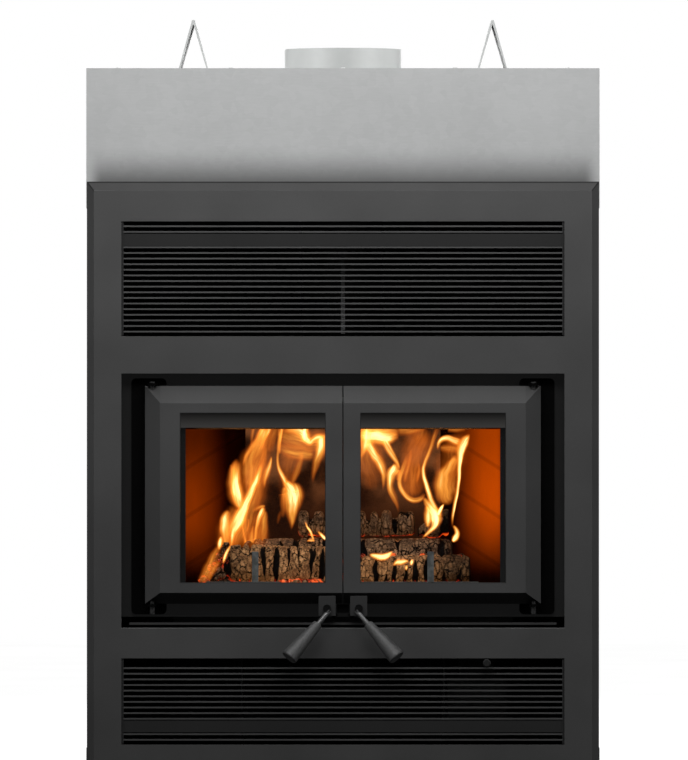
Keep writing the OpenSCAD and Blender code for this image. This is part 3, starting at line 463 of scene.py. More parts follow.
def log(name, finish, x0, x1, y, z, radius, seed, plate, depth, ends=(0.0, 0.0), lean=0.0, slim=1.0,
        rounded=0.0):
    """A split log along X. plate is the width of its bark plates, depth that of the cracks, ends
    how hot both ends are and lean how much it rises. slim is the share of the radius at its left
    end, and rounded the length over which the ends are burnt round."""
    draw = random.Random(seed)
    around = 84
    ring_step = 0.0013
    worn_end = 0.006
    charred_end = 0.008
    glowing_end = 0.035
    grain_relief = 0.0016
    narrow = 0.10
    broad = 0.24
    along = max(24, int((x1 - x0) / ring_step))
    cuts = []
    x = x0 + plate * draw.uniform(0.3, 0.8)
    while x < x1 - 0.3 * plate:
        cuts.append((x, draw.uniform(narrow, broad) * plate, draw.uniform(0, math.tau),
                     draw.uniform(-0.5, 0.5)))
        x += plate * draw.uniform(0.65, 1.35)
    verts = []
    chars = []
    embers = []
    for i in range(along + 1):
        t = i / along
        end = min(t, 1 - t) * (x1 - x0)
        taper = 1 - 0.25 * math.exp(-end / worn_end)
        if rounded:
            taper = 0.2 + 0.8 * math.sqrt(1 - max(0.0, 1 - end / rounded) ** 2)
        share = slim + (1 - slim) * t
        for k in range(around):
            turn = math.tau * k / around
            side = Vector((0, math.cos(turn), math.sin(turn)))
            x = x0 + (x1 - x0) * t
            wob = noise.noise(Vector((x * 9, side.y * 1.2 + seed, side.z * 1.2)))
            flat = 1 - 0.10 * (1 + math.cos(2 * turn + seed)) * 0.5
            r = radius * share * flat * (1 + 0.10 * wob) * taper
            deep = 0.0
            for at, wide, phase, slant in cuts:
                shift = at + 0.25 * plate * slant * math.sin(turn) + 0.12 * plate * noise.noise(
                    Vector((turn * 2.2, at * 40, seed)))
                breadth = wide * (0.55 + 0.75 * math.sin(turn * 1.5 + phase))
                if breadth > 0:
                    deep = max(deep, math.exp(-((x - shift) / breadth) ** 2))
            ridge = noise.noise(Vector((x * 60, side.y * 5 + seed, side.z * 5)))
            r += grain_relief * ridge - depth * deep
            verts.append((x, y + side.y * r, z - radius * (1 - share) + lean * (t - 0.5) + side.z * r))
            chars.append(min(1.0, deep * 1.1 + 0.5 * max(0.0, 1 - end / charred_end)))
            hot = max(0.0, -side.z - 0.55) * 1.6
            hot += ends[0] * max(0.0, 1 - t * (x1 - x0) / glowing_end)
            hot += ends[1] * max(0.0, 1 - (1 - t) * (x1 - x0) / glowing_end)
            embers.append(min(1.0, hot * (0.7 + 0.6 * noise.noise(Vector((x * 35, side.z * 3, seed))))))
    faces = tube_faces(along + 1, around)
    for base in (0, along * around):
        middle = len(verts)
        rim = [Vector(verts[base + k]) for k in range(around)]
        centre = sum(rim, Vector()) / around
        verts.append(tuple(centre))
        chars.append(0.55)
        embers.append(ends[0 if base == 0 else 1])
        for k in range(around):
            pair = (base + k, base + (k + 1) % around)
            faces.append((middle, *(pair[::-1] if base == 0 else pair)))
    return new_piece(name, verts, faces, {"char": chars, "ember": embers}, finish, "casing")


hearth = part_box("floor_brick")[1].z
front_y = -0.233
middle_y = -0.143
rear_y = -0.049
front_log = log("front_log_left", front_bark, -0.222, -0.004, front_y, hearth + 0.0395, radius=0.0400,
                seed=3, plate=0.021, depth=0.0095, ends=(0.3, 0.0), lean=-0.002)
log("front_log_right", front_bark, 0.008, 0.237, front_y, hearth + 0.0300, radius=0.0290,
    seed=8, plate=0.024, depth=0.0080, ends=(0.2, 0.0), lean=0.002)
log("middle_log", char_bark, -0.185, 0.205, middle_y, hearth + 0.0445, radius=0.0425,
    seed=13, plate=0.030, depth=0.0070)
log("rear_log", char_bark, -0.185, 0.205, rear_y, hearth + 0.0445, radius=0.0425,
    seed=21, plate=0.030, depth=0.0070)
log("top_log", char_bark, -0.078, 0.134, -0.140, hearth + 0.1090, radius=0.0180,
    seed=34, plate=0.023, depth=0.0040, ends=(0.4, 0.1))
log("top_chunk", char_bark, 0.140, 0.198, middle_y, hearth + 0.1190, radius=0.0320,
    seed=55, plate=0.030, depth=0.0060, ends=(0.3, 0.2), slim=0.35)
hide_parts("firewood")
plates = [(-0.0850, -0.0620), (-0.0560, -0.0335), (-0.0290, -0.0090), (-0.0040, 0.0170), (0.0220, 0.0445),
          (0.0500, 0.0670), (0.0705, 0.0930), (0.1020, 0.1345)]
for number, (x0, x1) in enumerate(plates):
    top = 0.0275 - 0.0015 * (number % 3)
    log(f"bark_plate_{number}", char_bark, x0, x1, middle_y, hearth + 0.1150, radius=top,
        seed=60 + number, plate=0.05, depth=0.004, rounded=0.008)

# Ember bed: lumps of glowing charcoal and grey ash on the floor brick. They fill the space
# behind the front logs, make a heap at their left end and lie strewn at their foot.


def ember_bed(name, count, seed, x_range, y_range, low, high, heats):
    """Lumps of charcoal heaped from the floor brick up to a slope from low to high."""
    draw = random.Random(seed)
    rings = 5
    sides = 8
    verts = []
    faces = []
    chars = []
    embers = []
    for i in range(count):
        x = draw.uniform(*x_range)
        y = draw.uniform(*y_range)
        top = low + (high - low) * (x - x_range[0]) / (x_range[1] - x_range[0])
        z = hearth + draw.uniform(0.004, top)
        size = draw.uniform(0.003, 0.006)
        heat = draw.uniform(*heats)
        base = len(verts)
        for a in range(rings + 1):
            rise = math.pi * a / rings
            for b in range(sides):
                turn = math.tau * b / sides
                level = math.sin(rise)
                way = Vector((level * math.cos(turn), level * math.sin(turn), math.cos(rise)))
                lump = 1 + 0.45 * noise.noise(way * 1.7 + Vector((i * 3.1, 0, 0)))
                verts.append((x + way.x * size * 1.3 * lump, y + way.y * size * lump,
                              z + way.z * size * 0.8 * lump))
                chars.append(0.14 + 0.26 * (1 - heat))
                embers.append(heat)
        for a in range(rings):
            for b in range(sides):
                c = (b + 1) % sides
                faces.append((base + a * sides + b, base + (a + 1) * sides + b, base + (a + 1) * sides + c,
                              base + a * sides + c))
    new_piece(name, verts, faces, {"char": chars, "ember": embers}, char_bark, "casing",
              smooth=False)


ember_bed("ember_bed", 300, 7, (-0.21, 0.23), (-0.197, -0.176), 0.058, 0.058, heats=(0.1, 0.8))
ember_bed("ember_heap", 260, 9, (-0.262, -0.214), (-0.262, -0.215), 0.012, 0.082, heats=(0.0, 0.62))
ember_bed("ember_foot", 60, 11, (-0.112, -0.006), (-0.290, -0.278), 0.010, 0.012, heats=(0.2, 0.85))

# Flames: soft ribbons of burning gas that rise from the logs and embers and let the bricks
# show through. Many are sharp and bright along one side and fade towards the other.

left_corner = (175, 420)
right_corner = (345, 420)
picture_step = 1 / 8.96
pixel_size = 0.001851
middle_column = 342.8
floor_row = 771
eye_height = 0.724
eye_distance = 18.9
face_y = -0.332

# Each ribbon is its depth in millimetres, the side on which it is sharp (-1 left, 1 right)
# and points from root to tip: where it runs, half its width and how hot it burns there.
# Places and widths are in steps of about a ninth of a pixel, from one window's corner.
left_ribbons = [
    (-168, 0, (520, 1160, 50, .26), (600, 990, 96, .32), (650, 800, 110, .33), (710, 600, 110, .3),
     (740, 400, 100, .26), (790, 200, 86, .26), (830, 40, 76, .28)),
    (-169, 0, (430, 1160, 60, .26), (470, 1020, 90, .34), (520, 900, 90, .34), (560, 780, 70, .24)),
    (-170, 0, (700, 1170, 90, .18), (720, 1050, 100, .22), (735, 930, 80, .2), (760, 830, 50, .12)),
    (-171, 0, (1010, 700, 60, .1), (1000, 560, 70, .14), (1010, 420, 80, .16), (1040, 300, 110, .2)),
    (-60, 0.3, (900, 240, 30, .12), (980, 250, 55, .3), (1070, 280, 66, .4), (1160, 290, 64, .42),
     (1250, 290, 54, .28)),
    (-62, 0, (930, 130, 84, .3), (1020, 150, 95, .36), (1100, 170, 95, .42), (1180, 190, 85, .42),
     (1260, 200, 95, .36), (1370, 200, 95, .4)),
    (-64, 0, (850, 290, 40, .08), (860, 200, 52, .18), (880, 120, 54, .24), (905, 40, 48, .28)),
    (-66, -0.2, (1018, 600, 30, .7), (986, 545, 26, .72), (955, 490, 21, .72), (930, 430, 16, .66),
     (918, 370, 12, .6), (920, 300, 12, .52), (928, 220, 15, .5), (938, 140, 18, .5), (942, 40, 22, .5)),
    (-68, 0.3, (1035, 590, 14, .18), (1060, 520, 28, .28), (1085, 460, 32, .3), (1105, 400, 30, .28),
     (1120, 340, 26, .24), (1130, 280, 22, .2)),
    (-70, 0, (1232, 570, 10, .06), (1240, 480, 22, .22), (1260, 400, 32, .4), (1285, 330, 38, .62),
     (1300, 260, 44, .85), (1305, 190, 48, .9), (1310, 130, 44, .8)),
    (-72, 0, (950, 75, 30, .45), (1030, 80, 38, .5), (1105, 95, 46, .7), (1150, 125, 50, 1.0),
     (1170, 170, 42, 1.1), (1205, 200, 32, .9), (1235, 175, 26, .75), (1285, 148, 26, .85),
     (1370, 142, 26, .9)),
    (-74, 0, (1168, 195, 20, .7), (1155, 140, 25, 1.1), (1165, 90, 28, 1.15), (1185, 30, 28, 1.0)),
    (-76, 0, (935, 310, 10, .4), (940, 200, 13, .5), (950, 120, 15, .55), (960, 40, 18, .55)),
    (-78, 0, (680, 235, 9, .1), (688, 150, 15, .26), (700, 80, 19, .32), (710, 30, 19, .32)),
    (-80, 0, (915, 935, 9, .05), (930, 870, 17, .12), (945, 815, 11, .05)),
    (-84, 0.4, (1040, 985, 8, .2), (1044, 885, 34, .45), (1044, 785, 64, .7), (1042, 700, 84, .92),
     (1038, 640, 84, .95), (1006, 590, 44, .8), (978, 545, 26, .7)),
    (-86, -0.3, (962, 880, 18, .08), (972, 800, 26, .2), (975, 720, 32, .3), (985, 650, 34, .42),
     (995, 600, 26, .45)),
    (-88, -0.4, (1050, 652, 26, .6), (1085, 641, 14, .75), (1114, 631, 6, .6)),
    (-96, 0.45, (700, 810, 44, .1), (715, 700, 60, .18), (735, 600, 54, .22), (762, 500, 38, .26),
     (785, 400, 27, .28), (797, 300, 22, .28), (806, 200, 20, .2)),
    (-104, -0.2, (655, 650, 50, .2), (678, 560, 78, .36), (688, 480, 95, .38), (692, 400, 100, .38),
     (712, 320, 92, .42), (738, 250, 68, .48), (766, 180, 50, .55), (795, 110, 44, .66),
     (812, 30, 42, .66)),
    (-106, -0.4, (610, 420, 13, .12), (638, 325, 19, .38), (690, 240, 23, .44), (740, 165, 25, .5),
     (780, 90, 27, .55), (798, 30, 27, .55)),
    (-108, 0.2, (770, 270, 15, .2), (800, 170, 20, .42), (830, 100, 23, .6), (848, 30, 24, .64)),
    (-112, -0.4, (566, 790, 38, .2), (550, 690, 64, .4), (537, 590, 66, .46), (532, 490, 52, .46),
     (540, 410, 34, .32), (558, 345, 16, .12)),
    (-113, 0, (520, 520, 30, .1), (512, 450, 24, .3), (500, 395, 12, .12)),
    (-114, -0.1, (590, 810, 20, .4), (572, 745, 46, .8), (556, 655, 52, 1.15), (546, 560, 44, .95),
     (546, 480, 38, .66), (551, 415, 40, .4), (546, 365, 34, .16)),
    (-120, 0.4, (794, 620, 9, .1), (800, 540, 21, .36), (816, 480, 27, .6), (836, 420, 23, .66),
     (852, 370, 15, .55), (861, 322, 8, .25)),
    (-126, 0.5, (768, 1175, 56, .26), (772, 1020, 53, .34), (781, 940, 43, .38), (791, 870, 33, .4),
     (801, 808, 18, .25)),
    (-128, -0.2, (712, 1175, 18, .42), (722, 1030, 17, .5), (735, 950, 17, .62), (752, 880, 21, .82),
     (778, 820, 24, .92), (799, 776, 14, .5)),
    (-130, 0, (685, 822, 16, .1), (730, 796, 19, .32), (775, 776, 17, .5), (808, 772, 8, .3)),
    (-134, 0, (632, 1175, 32, .34), (628, 1010, 32, .24), (630, 935, 27, .24), (633, 878, 18, .14)),
    (-136, -0.2, (645, 1175, 15, .45), (620, 1045, 12, .32), (604, 965, 10, .38), (611, 905, 10, .38),
     (636, 868, 10, .3)),
    (-137, 0.2, (640, 1005, 8, .25), (656, 940, 8, .34), (655, 885, 8, .28)),
    (-138, 0, (672, 1175, 36, .5), (681, 1050, 27, .45), (690, 990, 15, .34), (701, 945, 8, .15)),
    (-144, 0.35, (496, 1190, 20, .6), (505, 1040, 27, .8), (530, 960, 46, 1.0), (570, 880, 52, 1.2),
     (610, 790, 43, 1.1), (650, 700, 35, 1.0), (690, 610, 31, .95), (725, 530, 27, .85), (760, 430, 24, .5),
     (790, 330, 20, .3)),
    (-150, 0, (540, 1190, 40, .2), (545, 1040, 46, .26), (560, 960, 52, .3), (590, 880, 50, .3),
     (630, 790, 44, .2)),
    (-160, -0.4, (476, 1190, 26, .3), (456, 1040, 40, .55), (450, 970, 44, .82), (453, 900, 43, .92),
     (466, 848, 34, .62), (492, 818, 20, .25)),
    (-166, 0, (388, 1168, 9, .35), (398, 1120, 23, .9), (405, 1080, 21, 1.0), (409, 1040, 9, .4)),
    (-268, -0.35, (228, 1470, 30, .3), (285, 1370, 46, .36), (330, 1280, 46, .38), (366, 1200, 37, .34),
     (392, 1125, 24, .22)),
    (-269, 0, (300, 1440, 14, .3), (318, 1380, 24, .34), (356, 1320, 30, .28), (395, 1260, 26, .2)),
    (-270, 0, (428, 1290, 7, .35), (440, 1240, 15, .9), (459, 1190, 15, 1.0), (481, 1148, 11, .8),
     (498, 1115, 5, .3)),
    (-176, 0, (1163, 910, 8, .4), (1185, 962, 10, .8), (1214, 1005, 13, .85), (1242, 1088, 8, .7)),
    (-176, 0, (1180, 1085, 8, .5), (1220, 1078, 12, .8), (1252, 1085, 7, .5)),
    (-176, 0, (1276, 996, 8, .4), (1310, 1030, 15, .85), (1340, 1056, 17, 1.0), (1375, 1070, 16, 1.0)),
]
right_ribbons = [
    (-168, 0, (250, 640, 40, .06), (230, 500, 110, .14), (200, 360, 150, .22), (180, 220, 160, .34),
     (170, 60, 150, .42)),
    (-169, 0, (600, 700, 70, .1), (600, 560, 110, .17), (620, 400, 120, .17), (660, 250, 130, .15),
     (700, 100, 140, .16)),
    (-170, 0, (900, 760, 60, .06), (900, 600, 90, .12), (950, 420, 100, .18), (980, 250, 110, .2),
     (960, 120, 100, .18)),
    (-60, 0, (120, 95, 90, .5), (240, 100, 90, .6), (350, 100, 80, .55), (440, 100, 60, .35),
     (490, 100, 50, .12)),
    (-62, -0.1, (470, 95, 42, .34), (560, 92, 42, .36), (640, 82, 36, .3), (730, 68, 26, .16)),
    (-64, 0, (920, 72, 30, .3), (1000, 80, 32, .36), (1080, 72, 26, .24)),
    (-66, 0, (520, 440, 44, .05), (560, 330, 84, .1), (610, 240, 104, .15), (660, 160, 104, .18),
     (700, 60, 94, .2)),
    (-68, 0, (830, 490, 30, .04), (830, 410, 47, .09), (835, 350, 42, .08), (840, 290, 30, .04)),
    (-70, 0, (118, 140, 70, .8), (235, 145, 68, 1.0), (310, 150, 66, 1.05), (385, 150, 58, .9),
     (440, 140, 44, .5), (480, 130, 34, .14)),
    (-72, 0, (140, 345, 12, .15), (160, 285, 28, .42), (185, 220, 42, .9), (200, 150, 46, 1.0),
     (200, 60, 44, .8)),
    (-76, -0.25, (340, 635, 8, .08), (347, 560, 18, .3), (348, 490, 26, .55), (330, 420, 38, .72),
     (295, 350, 42, .82), (255, 290, 40, .88), (222, 230, 38, .9), (200, 170, 36, .8)),
    (-78, 0.35, (488, 448, 7, .22), (466, 390, 17, .62), (430, 330, 26, .76), (395, 275, 30, .82),
     (365, 220, 32, .85), (340, 160, 36, .8)),
    (-82, 0, (472, 545, 20, .2), (481, 490, 27, .42), (476, 445, 27, .5)),
    (-84, -0.4, (480, 835, 6, .06), (470, 770, 15, .22), (445, 700, 26, .4), (416, 640, 28, .56),
     (403, 570, 28, .72), (416, 500, 40, .88), (440, 450, 44, 1.02), (451, 408, 31, .72),
     (441, 374, 13, .2)),
    (-90, 0, (622, 705, 50, .12), (610, 620, 92, .2), (610, 520, 88, .2), (620, 420, 84, .16),
     (640, 320, 92, .14), (670, 220, 100, .12), (700, 120, 110, .1)),
    (-92, 0, (640, 565, 11, .06), (655, 500, 17, .22), (665, 440, 15, .24), (660, 385, 10, .1)),
    (-93, 0, (528, 565, 15, .12), (545, 480, 22, .3), (570, 400, 20, .28), (585, 320, 15, .24),
     (590, 255, 11, .12)),
    (-94, 0.3, (563, 295, 16, .2), (548, 370, 22, .34), (522, 440, 24, .45), (498, 500, 22, .55),
     (490, 560, 21, .58), (508, 625, 22, .58), (555, 685, 23, .62), (615, 718, 24, .68), (675, 705, 22, .6),
     (716, 655, 16, .4)),
    (-100, 0, (850, 250, 26, .2), (900, 250, 36, .3), (960, 252, 42, .32), (1010, 262, 36, .3)),
    (-102, -0.55, (962, 748, 24, .2), (930, 702, 72, .42), (915, 640, 96, .54), (915, 570, 99, .56),
     (930, 500, 88, .56), (957, 430, 62, .56), (986, 370, 40, .6), (1000, 310, 26, .5)),
    (-106, -0.5, (834, 272, 9, .15), (842, 215, 17, .55), (870, 177, 23, .8), (920, 166, 27, .86),
     (975, 186, 31, .88), (1032, 212, 35, .9)),
    (-110, 0.55, (962, 960, 9, .4), (962, 880, 11, .62), (975, 790, 13, .8), (993, 700, 15, .92),
     (1010, 600, 15, .94), (1018, 510, 17, 1.0), (1022, 420, 19, 1.0), (1028, 330, 27, 1.02),
     (1040, 250, 39, 1.1), (1066, 190, 37, 1.1), (1096, 148, 22, .8), (1114, 120, 8, .3)),
    (-120, -0.1, (845, 862, 21, .9), (815, 800, 21, .85), (780, 730, 23, .8), (750, 650, 23, .82),
     (725, 570, 21, .84), (706, 500, 18, .84), (702, 440, 17, .78), (718, 380, 17, .64),
     (745, 310, 19, .52), (772, 240, 17, .46), (790, 180, 17, .42), (810, 120, 21, .36),
     (842, 40, 30, .36)),
    (-172, 0, (740, 965, 15, .4), (745, 900, 33, .75), (750, 830, 37, .8), (736, 765, 25, .55)),
    (-174, 0, (688, 1062, 6, .4), (725, 1030, 13, .75), (765, 990, 19, .95), (800, 950, 28, 1.1),
     (815, 900, 46, 1.25), (805, 850, 51, 1.15), (775, 800, 41, .9), (740, 750, 29, .7), (715, 712, 18, .5),
     (688, 698, 12, .3)),
    (-176, 0, (826, 860, 20, .9), (850, 812, 19, 1.05), (869, 778, 14, .9), (886, 752, 6, .35)),
    (-178, 0, (962, 1095, 11, .8), (985, 1062, 25, 1.15), (1005, 1020, 21, 1.1), (995, 980, 17, .9),
     (968, 945, 10, .5)),
    (-272, 0, (214, 1206, 9, .6), (270, 1220, 26, 1.0), (330, 1230, 31, 1.1), (385, 1214, 25, 1.1),
     (428, 1176, 9, .7)),
    (-273, 0, (430, 1307, 7, .5), (465, 1280, 23, 1.0), (510, 1275, 25, 1.0), (572, 1262, 12, .7)),
    (-274, 0, (594, 1304, 8, .5), (597, 1275, 17, 1.1), (602, 1246, 7, .4)),
    (-274, 0, (544, 1348, 7, .4), (549, 1325, 13, .85), (554, 1300, 7, .4)),
]

gas = Finish("flame", {"Base Color": (0, 0, 0), "Specular IOR Level": 0.0, "Emission Strength": 3.2,
                       "Roughness": 1.0})
streak = gas.grain(1.0, 2.0, stored(gas, "flow", "Vector"))
glow = stored(gas, "glow") * (0.30 + 1.40 * streak)
hue = glow.rise(0.05, 0.55).blend((0.90, 0.165, 0.012), (1.0, 0.36, 0.045))
hue = glow.rise(0.50, 1.0).blend(hue, (1.0, 0.70, 0.26))
gas.feed("Emission Color", hue)
gas.feed("Alpha", 0.62 * glow ** 1.2)


def in_picture(corner, x, y, depth):
    """Where a point of the enlarged picture lies at a depth, in metres."""
    size = pixel_size * (1 + (depth - face_y) / eye_distance)
    across = (corner[0] + x * picture_step - middle_column) * size
    up = eye_height + (floor_row - eye_height / pixel_size - corner[1] - y * picture_step) * size
    return across, up


def flames(name, corner, ribbons, seed):
    """Joins the ribbons of one window into a piece. They are brightest along their sharp side."""
    verts = []
    faces = []
    glows = []
    flows = []
    columns = 16
    thinnest = 0.0006
    wide = picture_step * pixel_size
    for number, (depth, sharp, *points) in enumerate(ribbons):
        depth /= 1000
        run = catmull([(*in_picture(corner, x, y, depth), half * wide, heat)
                       for x, y, half, heat in points], 8)
        base = len(verts)
        travelled = 0.0
        for i, (x, z, half, heat) in enumerate(run):
            before = run[max(i - 1, 0)]
            after = run[min(i + 1, len(run) - 1)]
            along = Vector((after[0] - before[0], after[1] - before[1])).normalized()
            cross = Vector((along.y, -along.x))
            travelled += math.hypot(x - before[0], z - before[1])
            share = i / (len(run) - 1)
            ends = min(1.0, 9 * share, 9 * (1 - share))
            reach = 1.5 * max(half, thinnest)
            sway = 0.10 * noise.noise(Vector((travelled * 60, seed, number * 1.7)))
            crest = 0.6 * sharp
            for k in range(columns + 1):
                s = 2 * k / columns - 1
                slope = abs(s - crest) / (1 - crest if s > crest else 1 + crest)
                fade = 1 - slope * slope * (3 - 2 * slope)
                at = Vector((x, z)) + cross * (reach * (s + sway))
                verts.append((at.x, depth - 0.3 * half * (1 - s * s), at.y))
                glows.append(max(heat, 0.0) * fade * ends)
                flows.append((half * s * 300, travelled * 24, number * 3.7))
        for i in range(len(run) - 1):
            first = base + i * (columns + 1)
            faces += [(n, n + 1, n + columns + 2, n + columns + 1) for n in range(first, first + columns)]
    new_piece(name, verts, faces, {"glow": glows, "flow": flows}, gas, "casing")


flames("flames_left", left_corner, left_ribbons, 1)
flames("flames_right", right_corner, right_ribbons, 2)

# Faceplate: one sheet with a mitred, bevelled rim and three openings, powder-coated in
# satin charcoal and hung on the casing front.

face_paint = black_paint("face_paint", tone(65), 0.46, 0.00003, filed=0.0006)
face_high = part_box("faceplate")[1]
rim_side = 0.0133
rim_top = 0.0167
from_side = face_high.x - abs(face_paint.axis(0))
from_top = face_high.z - face_paint.axis(2)
mitre = abs(from_side * (rim_top / rim_side) - from_top).rise(0.0026, 0.0014)
mitre = mitre * from_side.rise(rim_side + 0.0005, rim_side)
# Painted shadow: a dark line along the top edge, where the faceplate meets the header; the mitres are dark
# seams.
top_painted_shadow = from_top.rise(0.0030, 0.0018)
seam_and_shadow_line = (mitre + top_painted_shadow).rise(0.0, 1.0)
face_paint.feed("Base Color", (0.85 * seam_and_shadow_line).blend(face_paint.painted, tone(6)))
face_paint.coat("faceplate")

# Louvres: thin slats in end frames behind the faceplate openings, each with a flat bar.
# An upright strap steadies the upper slats in the middle; its foot is painted light, as a patch of light
# falling on it.

black_paint("louvre_paint", tone(66), 0.5).coat("upper_slats", "lower_slats")
upper_bar = black_paint("upper_bar_paint", tone(25), 0.6, shine=0.3)
strap_half = 0.0060
slats_low, slats_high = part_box("upper_slats")
bar_foot = slats_high.z - 0.050
strap = abs(upper_bar.axis(0)).rise(strap_half, strap_half - 0.0004)
# Painted light: the strap grows lighter downwards, from below the bar to the foot of the slats.
strap_painted_light = strap * upper_bar.axis(2).rise(bar_foot, slats_low.z)
upper_bar.feed("Base Color", strap_painted_light.blend(upper_bar.painted, tone(190)))
upper_bar.coat("upper_louvre_frame")
# The lower bar is painted a little lighter than the upper one, as painted light.
black_paint("lower_bar_paint", tone(32), 0.6, shine=0.3).coat("lower_louvre_frame")

# Air supply: a zinc collar for the outside air, a sliding gate over the duct, and its
# steel rod with a moulded knob. The strips that hold the panes in the doors are of the
# same bright steel.

zinc("duct_zinc", (200, 202, 203), 0.42, 0.6).coat("outside_air_collar", "air_gate")
zinc("rod_steel", (120, 120, 122), 0.35, 0.9).coat(
    "air_rod", "left_glass_retainer", "right_glass_retainer")
black_paint("knob_black", tone(22), 0.45).coat("air_knob")

# Doors: cast frames with three bevelled edges in satin charcoal, ceramic glass bedded on
# gasket tape behind a retainer, and braided rope in a channel round the back. The paint is
# darkened as painted shade on the bevels and the meeting edge, with a thin painted shadow line round the
# glass opening.

door_paint = black_paint("door_paint", tone(62), 0.48, 0.00008, filed=0.0009)
door_low, door_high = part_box("right_door_frame")
side_bevel = 0.0283
top_bevel = 0.0315
foot_bevel = 0.0207
line = 0.0013
soft = 0.0003
crisp = 0.0005
from_foot = door_paint.axis(2) - door_low.z
from_head = door_high.z - door_paint.axis(2)
from_hinge = door_high.x - abs(door_paint.axis(0))
from_meeting = abs(door_paint.axis(0)) - door_low.x
# Painted shade on the bottom, hinge and head bevels and along the meeting edge, and a painted shadow line
# round the glass opening.
under_bevel_shade = from_foot.rise(foot_bevel + crisp, foot_bevel - crisp)
under_bevel_shade = under_bevel_shade * (from_hinge * (foot_bevel / side_bevel) - from_foot).rise(-crisp, crisp)
meeting_edge_shade = abs(door_paint.axis(0)).rise(0.0015, 0.0010)
hinge_bevel_shade = from_hinge.rise(side_bevel + crisp, side_bevel - crisp)
head_bevel_shade = from_head.rise(top_bevel, 0.0)
pane_shadow_line = 1.0
for inward, stile in [(from_meeting, 0.0324), (from_hinge, 0.0660), (from_foot, 0.0400),
                      (from_head, 0.0505)]:
    pane_shadow_line = pane_shadow_line * inward.rise(stile - line, stile - line + soft)
door_shade = 0.75 * under_bevel_shade + meeting_edge_shade + 0.22 * hinge_bevel_shade + 0.3 * head_bevel_shade + 0.9 * pane_shadow_line
door_paint.feed("Base Color", door_shade.rise(0.0, 1.0).blend(door_paint.painted, tone(4)))
door_paint.coat("left_door_frame", "right_door_frame")

glass = Finish("door_glass", {"Base Color": tone(2), "Specular IOR Level": 0.25, "IOR": 1.45})
smear = glass.grain(8.0, 4.0)
glass.feed("Alpha", 0.02 + 0.02 * smear)
glass.feed("Roughness", 0.03 + 0.08 * smear)
glass.coat("left_door_glass", "right_door_glass")

tape = Finish("gasket_rope", {"Roughness": 0.9, "Sheen Weight": 0.3})
weave = tape.grain(900.0, 3.0)
tape.feed("Base Color", weave.rise(0.35, 0.65).blend(tone(34, 33, 31), tone(92, 90, 86)))
tape.bump(weave, 0.0006)
tape.coat("left_glass_gasket", "right_glass_gasket")

rope_yarn = Finish("door_rope", {"Roughness": 0.9, "Sheen Weight": 0.3})
hair = rope_yarn.grain(1400.0, 3.0)
# Painted shade: the rope is dark in the valleys between its yarns and light on their crowns.
yarn = (0.75 * stored(rope_yarn, "yarn") + 0.25 * hair).rise(0.1, 0.9)
rope_yarn.feed("Base Color", yarn.blend(tone(20, 19, 18), tone(104, 102, 97)))
rope_yarn.bump(hair, 0.0003)


def braid(path, radius, strands, pitch):
    """Points, faces and yarn height of a braided rope along a path; its yarns cross twice a pitch."""
    around = 28
    valley = 0.7
    verts = []
    yarns = []
    travelled = 0.0
    for i, at in enumerate(path):
        before = path[max(i - 1, 0)]
        after = path[min(i + 1, len(path) - 1)]
        travelled += (at - before).length
        ahead = (after - before).normalized()
        side = Vector((0, 1, 0))
        out = ahead.cross(side)
        for k in range(around):
            turn = math.tau * k / around
            run = math.tau * travelled / pitch
            crown = max(abs(math.sin(strands * turn / 2 + run)), abs(math.sin(strands * turn / 2 - run)))
            high = (crown - valley) / 0.3
            r = radius * (0.90 + 0.10 * max(high, 0.0) ** 0.6)
            way = out * math.cos(turn) + side * math.sin(turn)
            verts.append(tuple(at + way * r))
            yarns.append(max(high, 0.0))
    rings = len(path)
    faces = tube_faces(rings, around)
    faces.append(tuple(range(around))[::-1])
    faces.append(tuple((rings - 1) * around + k for k in range(around)))
    return verts, faces, yarns


def door_rope(side):
    """Rope in the channel of one door, and the thin one in its meeting edge; side is -1 left, 1 right.

    The thin ropes of the two doors touch and close the gap between the doors."""
    radius = 0.0056
    edge_radius = 0.0029
    edge_swell = 0.0005
    edge_end = 0.021
    rope_end = 0.008
    step = 0.0011
    bend = 0.006
    name = "left_door" if side < 0 else "right_door"
    low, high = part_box(name + "_rope")
    frame_low, frame_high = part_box(name + "_frame")
    inner, outer = sorted([abs(low.x), abs(high.x)])
    turn_x = outer - radius
    foot_z = low.z + radius
    head_z = high.z - radius
    depth = high.y - radius
    start_x = min(abs(frame_low.x), abs(frame_high.x)) + rope_end
    corners = [(turn_x - bend, foot_z + bend, -90), (turn_x - bend, head_z - bend, 0)]
    points = [Vector((start_x, 0, foot_z))]
    for x, z, first in corners:
        for a in range(0, 91, 10):
            turn = math.radians(first + a)
            points.append(Vector((x + bend * math.cos(turn), 0, z + bend * math.sin(turn))))
    points.append(Vector((start_x, 0, head_z)))
    path = []
    for a, b in zip(points, points[1:]):
        pieces = max(1, round((b - a).length / step))
        path += [a + (b - a) * (i / pieces) for i in range(pieces)]
    path.append(points[-1])
    path = [Vector((side * p.x, depth, p.z)) for p in path]
    verts, faces, yarns = braid(path, radius, strands=12, pitch=0.014)
    edge_x = side * (inner + edge_radius)
    edge_low = frame_low.z + edge_end
    edge_high = frame_high.z - edge_end
    edge_depth = low.y + edge_radius
    pieces = round((edge_high - edge_low) / step)
    edge = [Vector((edge_x, edge_depth, edge_low + (edge_high - edge_low) * i / pieces))
            for i in range(pieces + 1)]
    more, more_faces, more_yarns = braid(edge, edge_radius + edge_swell, strands=8, pitch=0.008)
    faces += [tuple(len(verts) + n for n in face) for face in more_faces]
    piece = new_piece(name + "_rope_braid", verts + more, faces, {"yarn": yarns + more_yarns},
                      rope_yarn, name)
    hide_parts(name + "_rope")


door_rope(-1)
door_rope(1)

# Latches: a black block under the meeting corner of each door, and a handle with a bare
# steel rod in a dark boss and a tapered grip in satin grey.

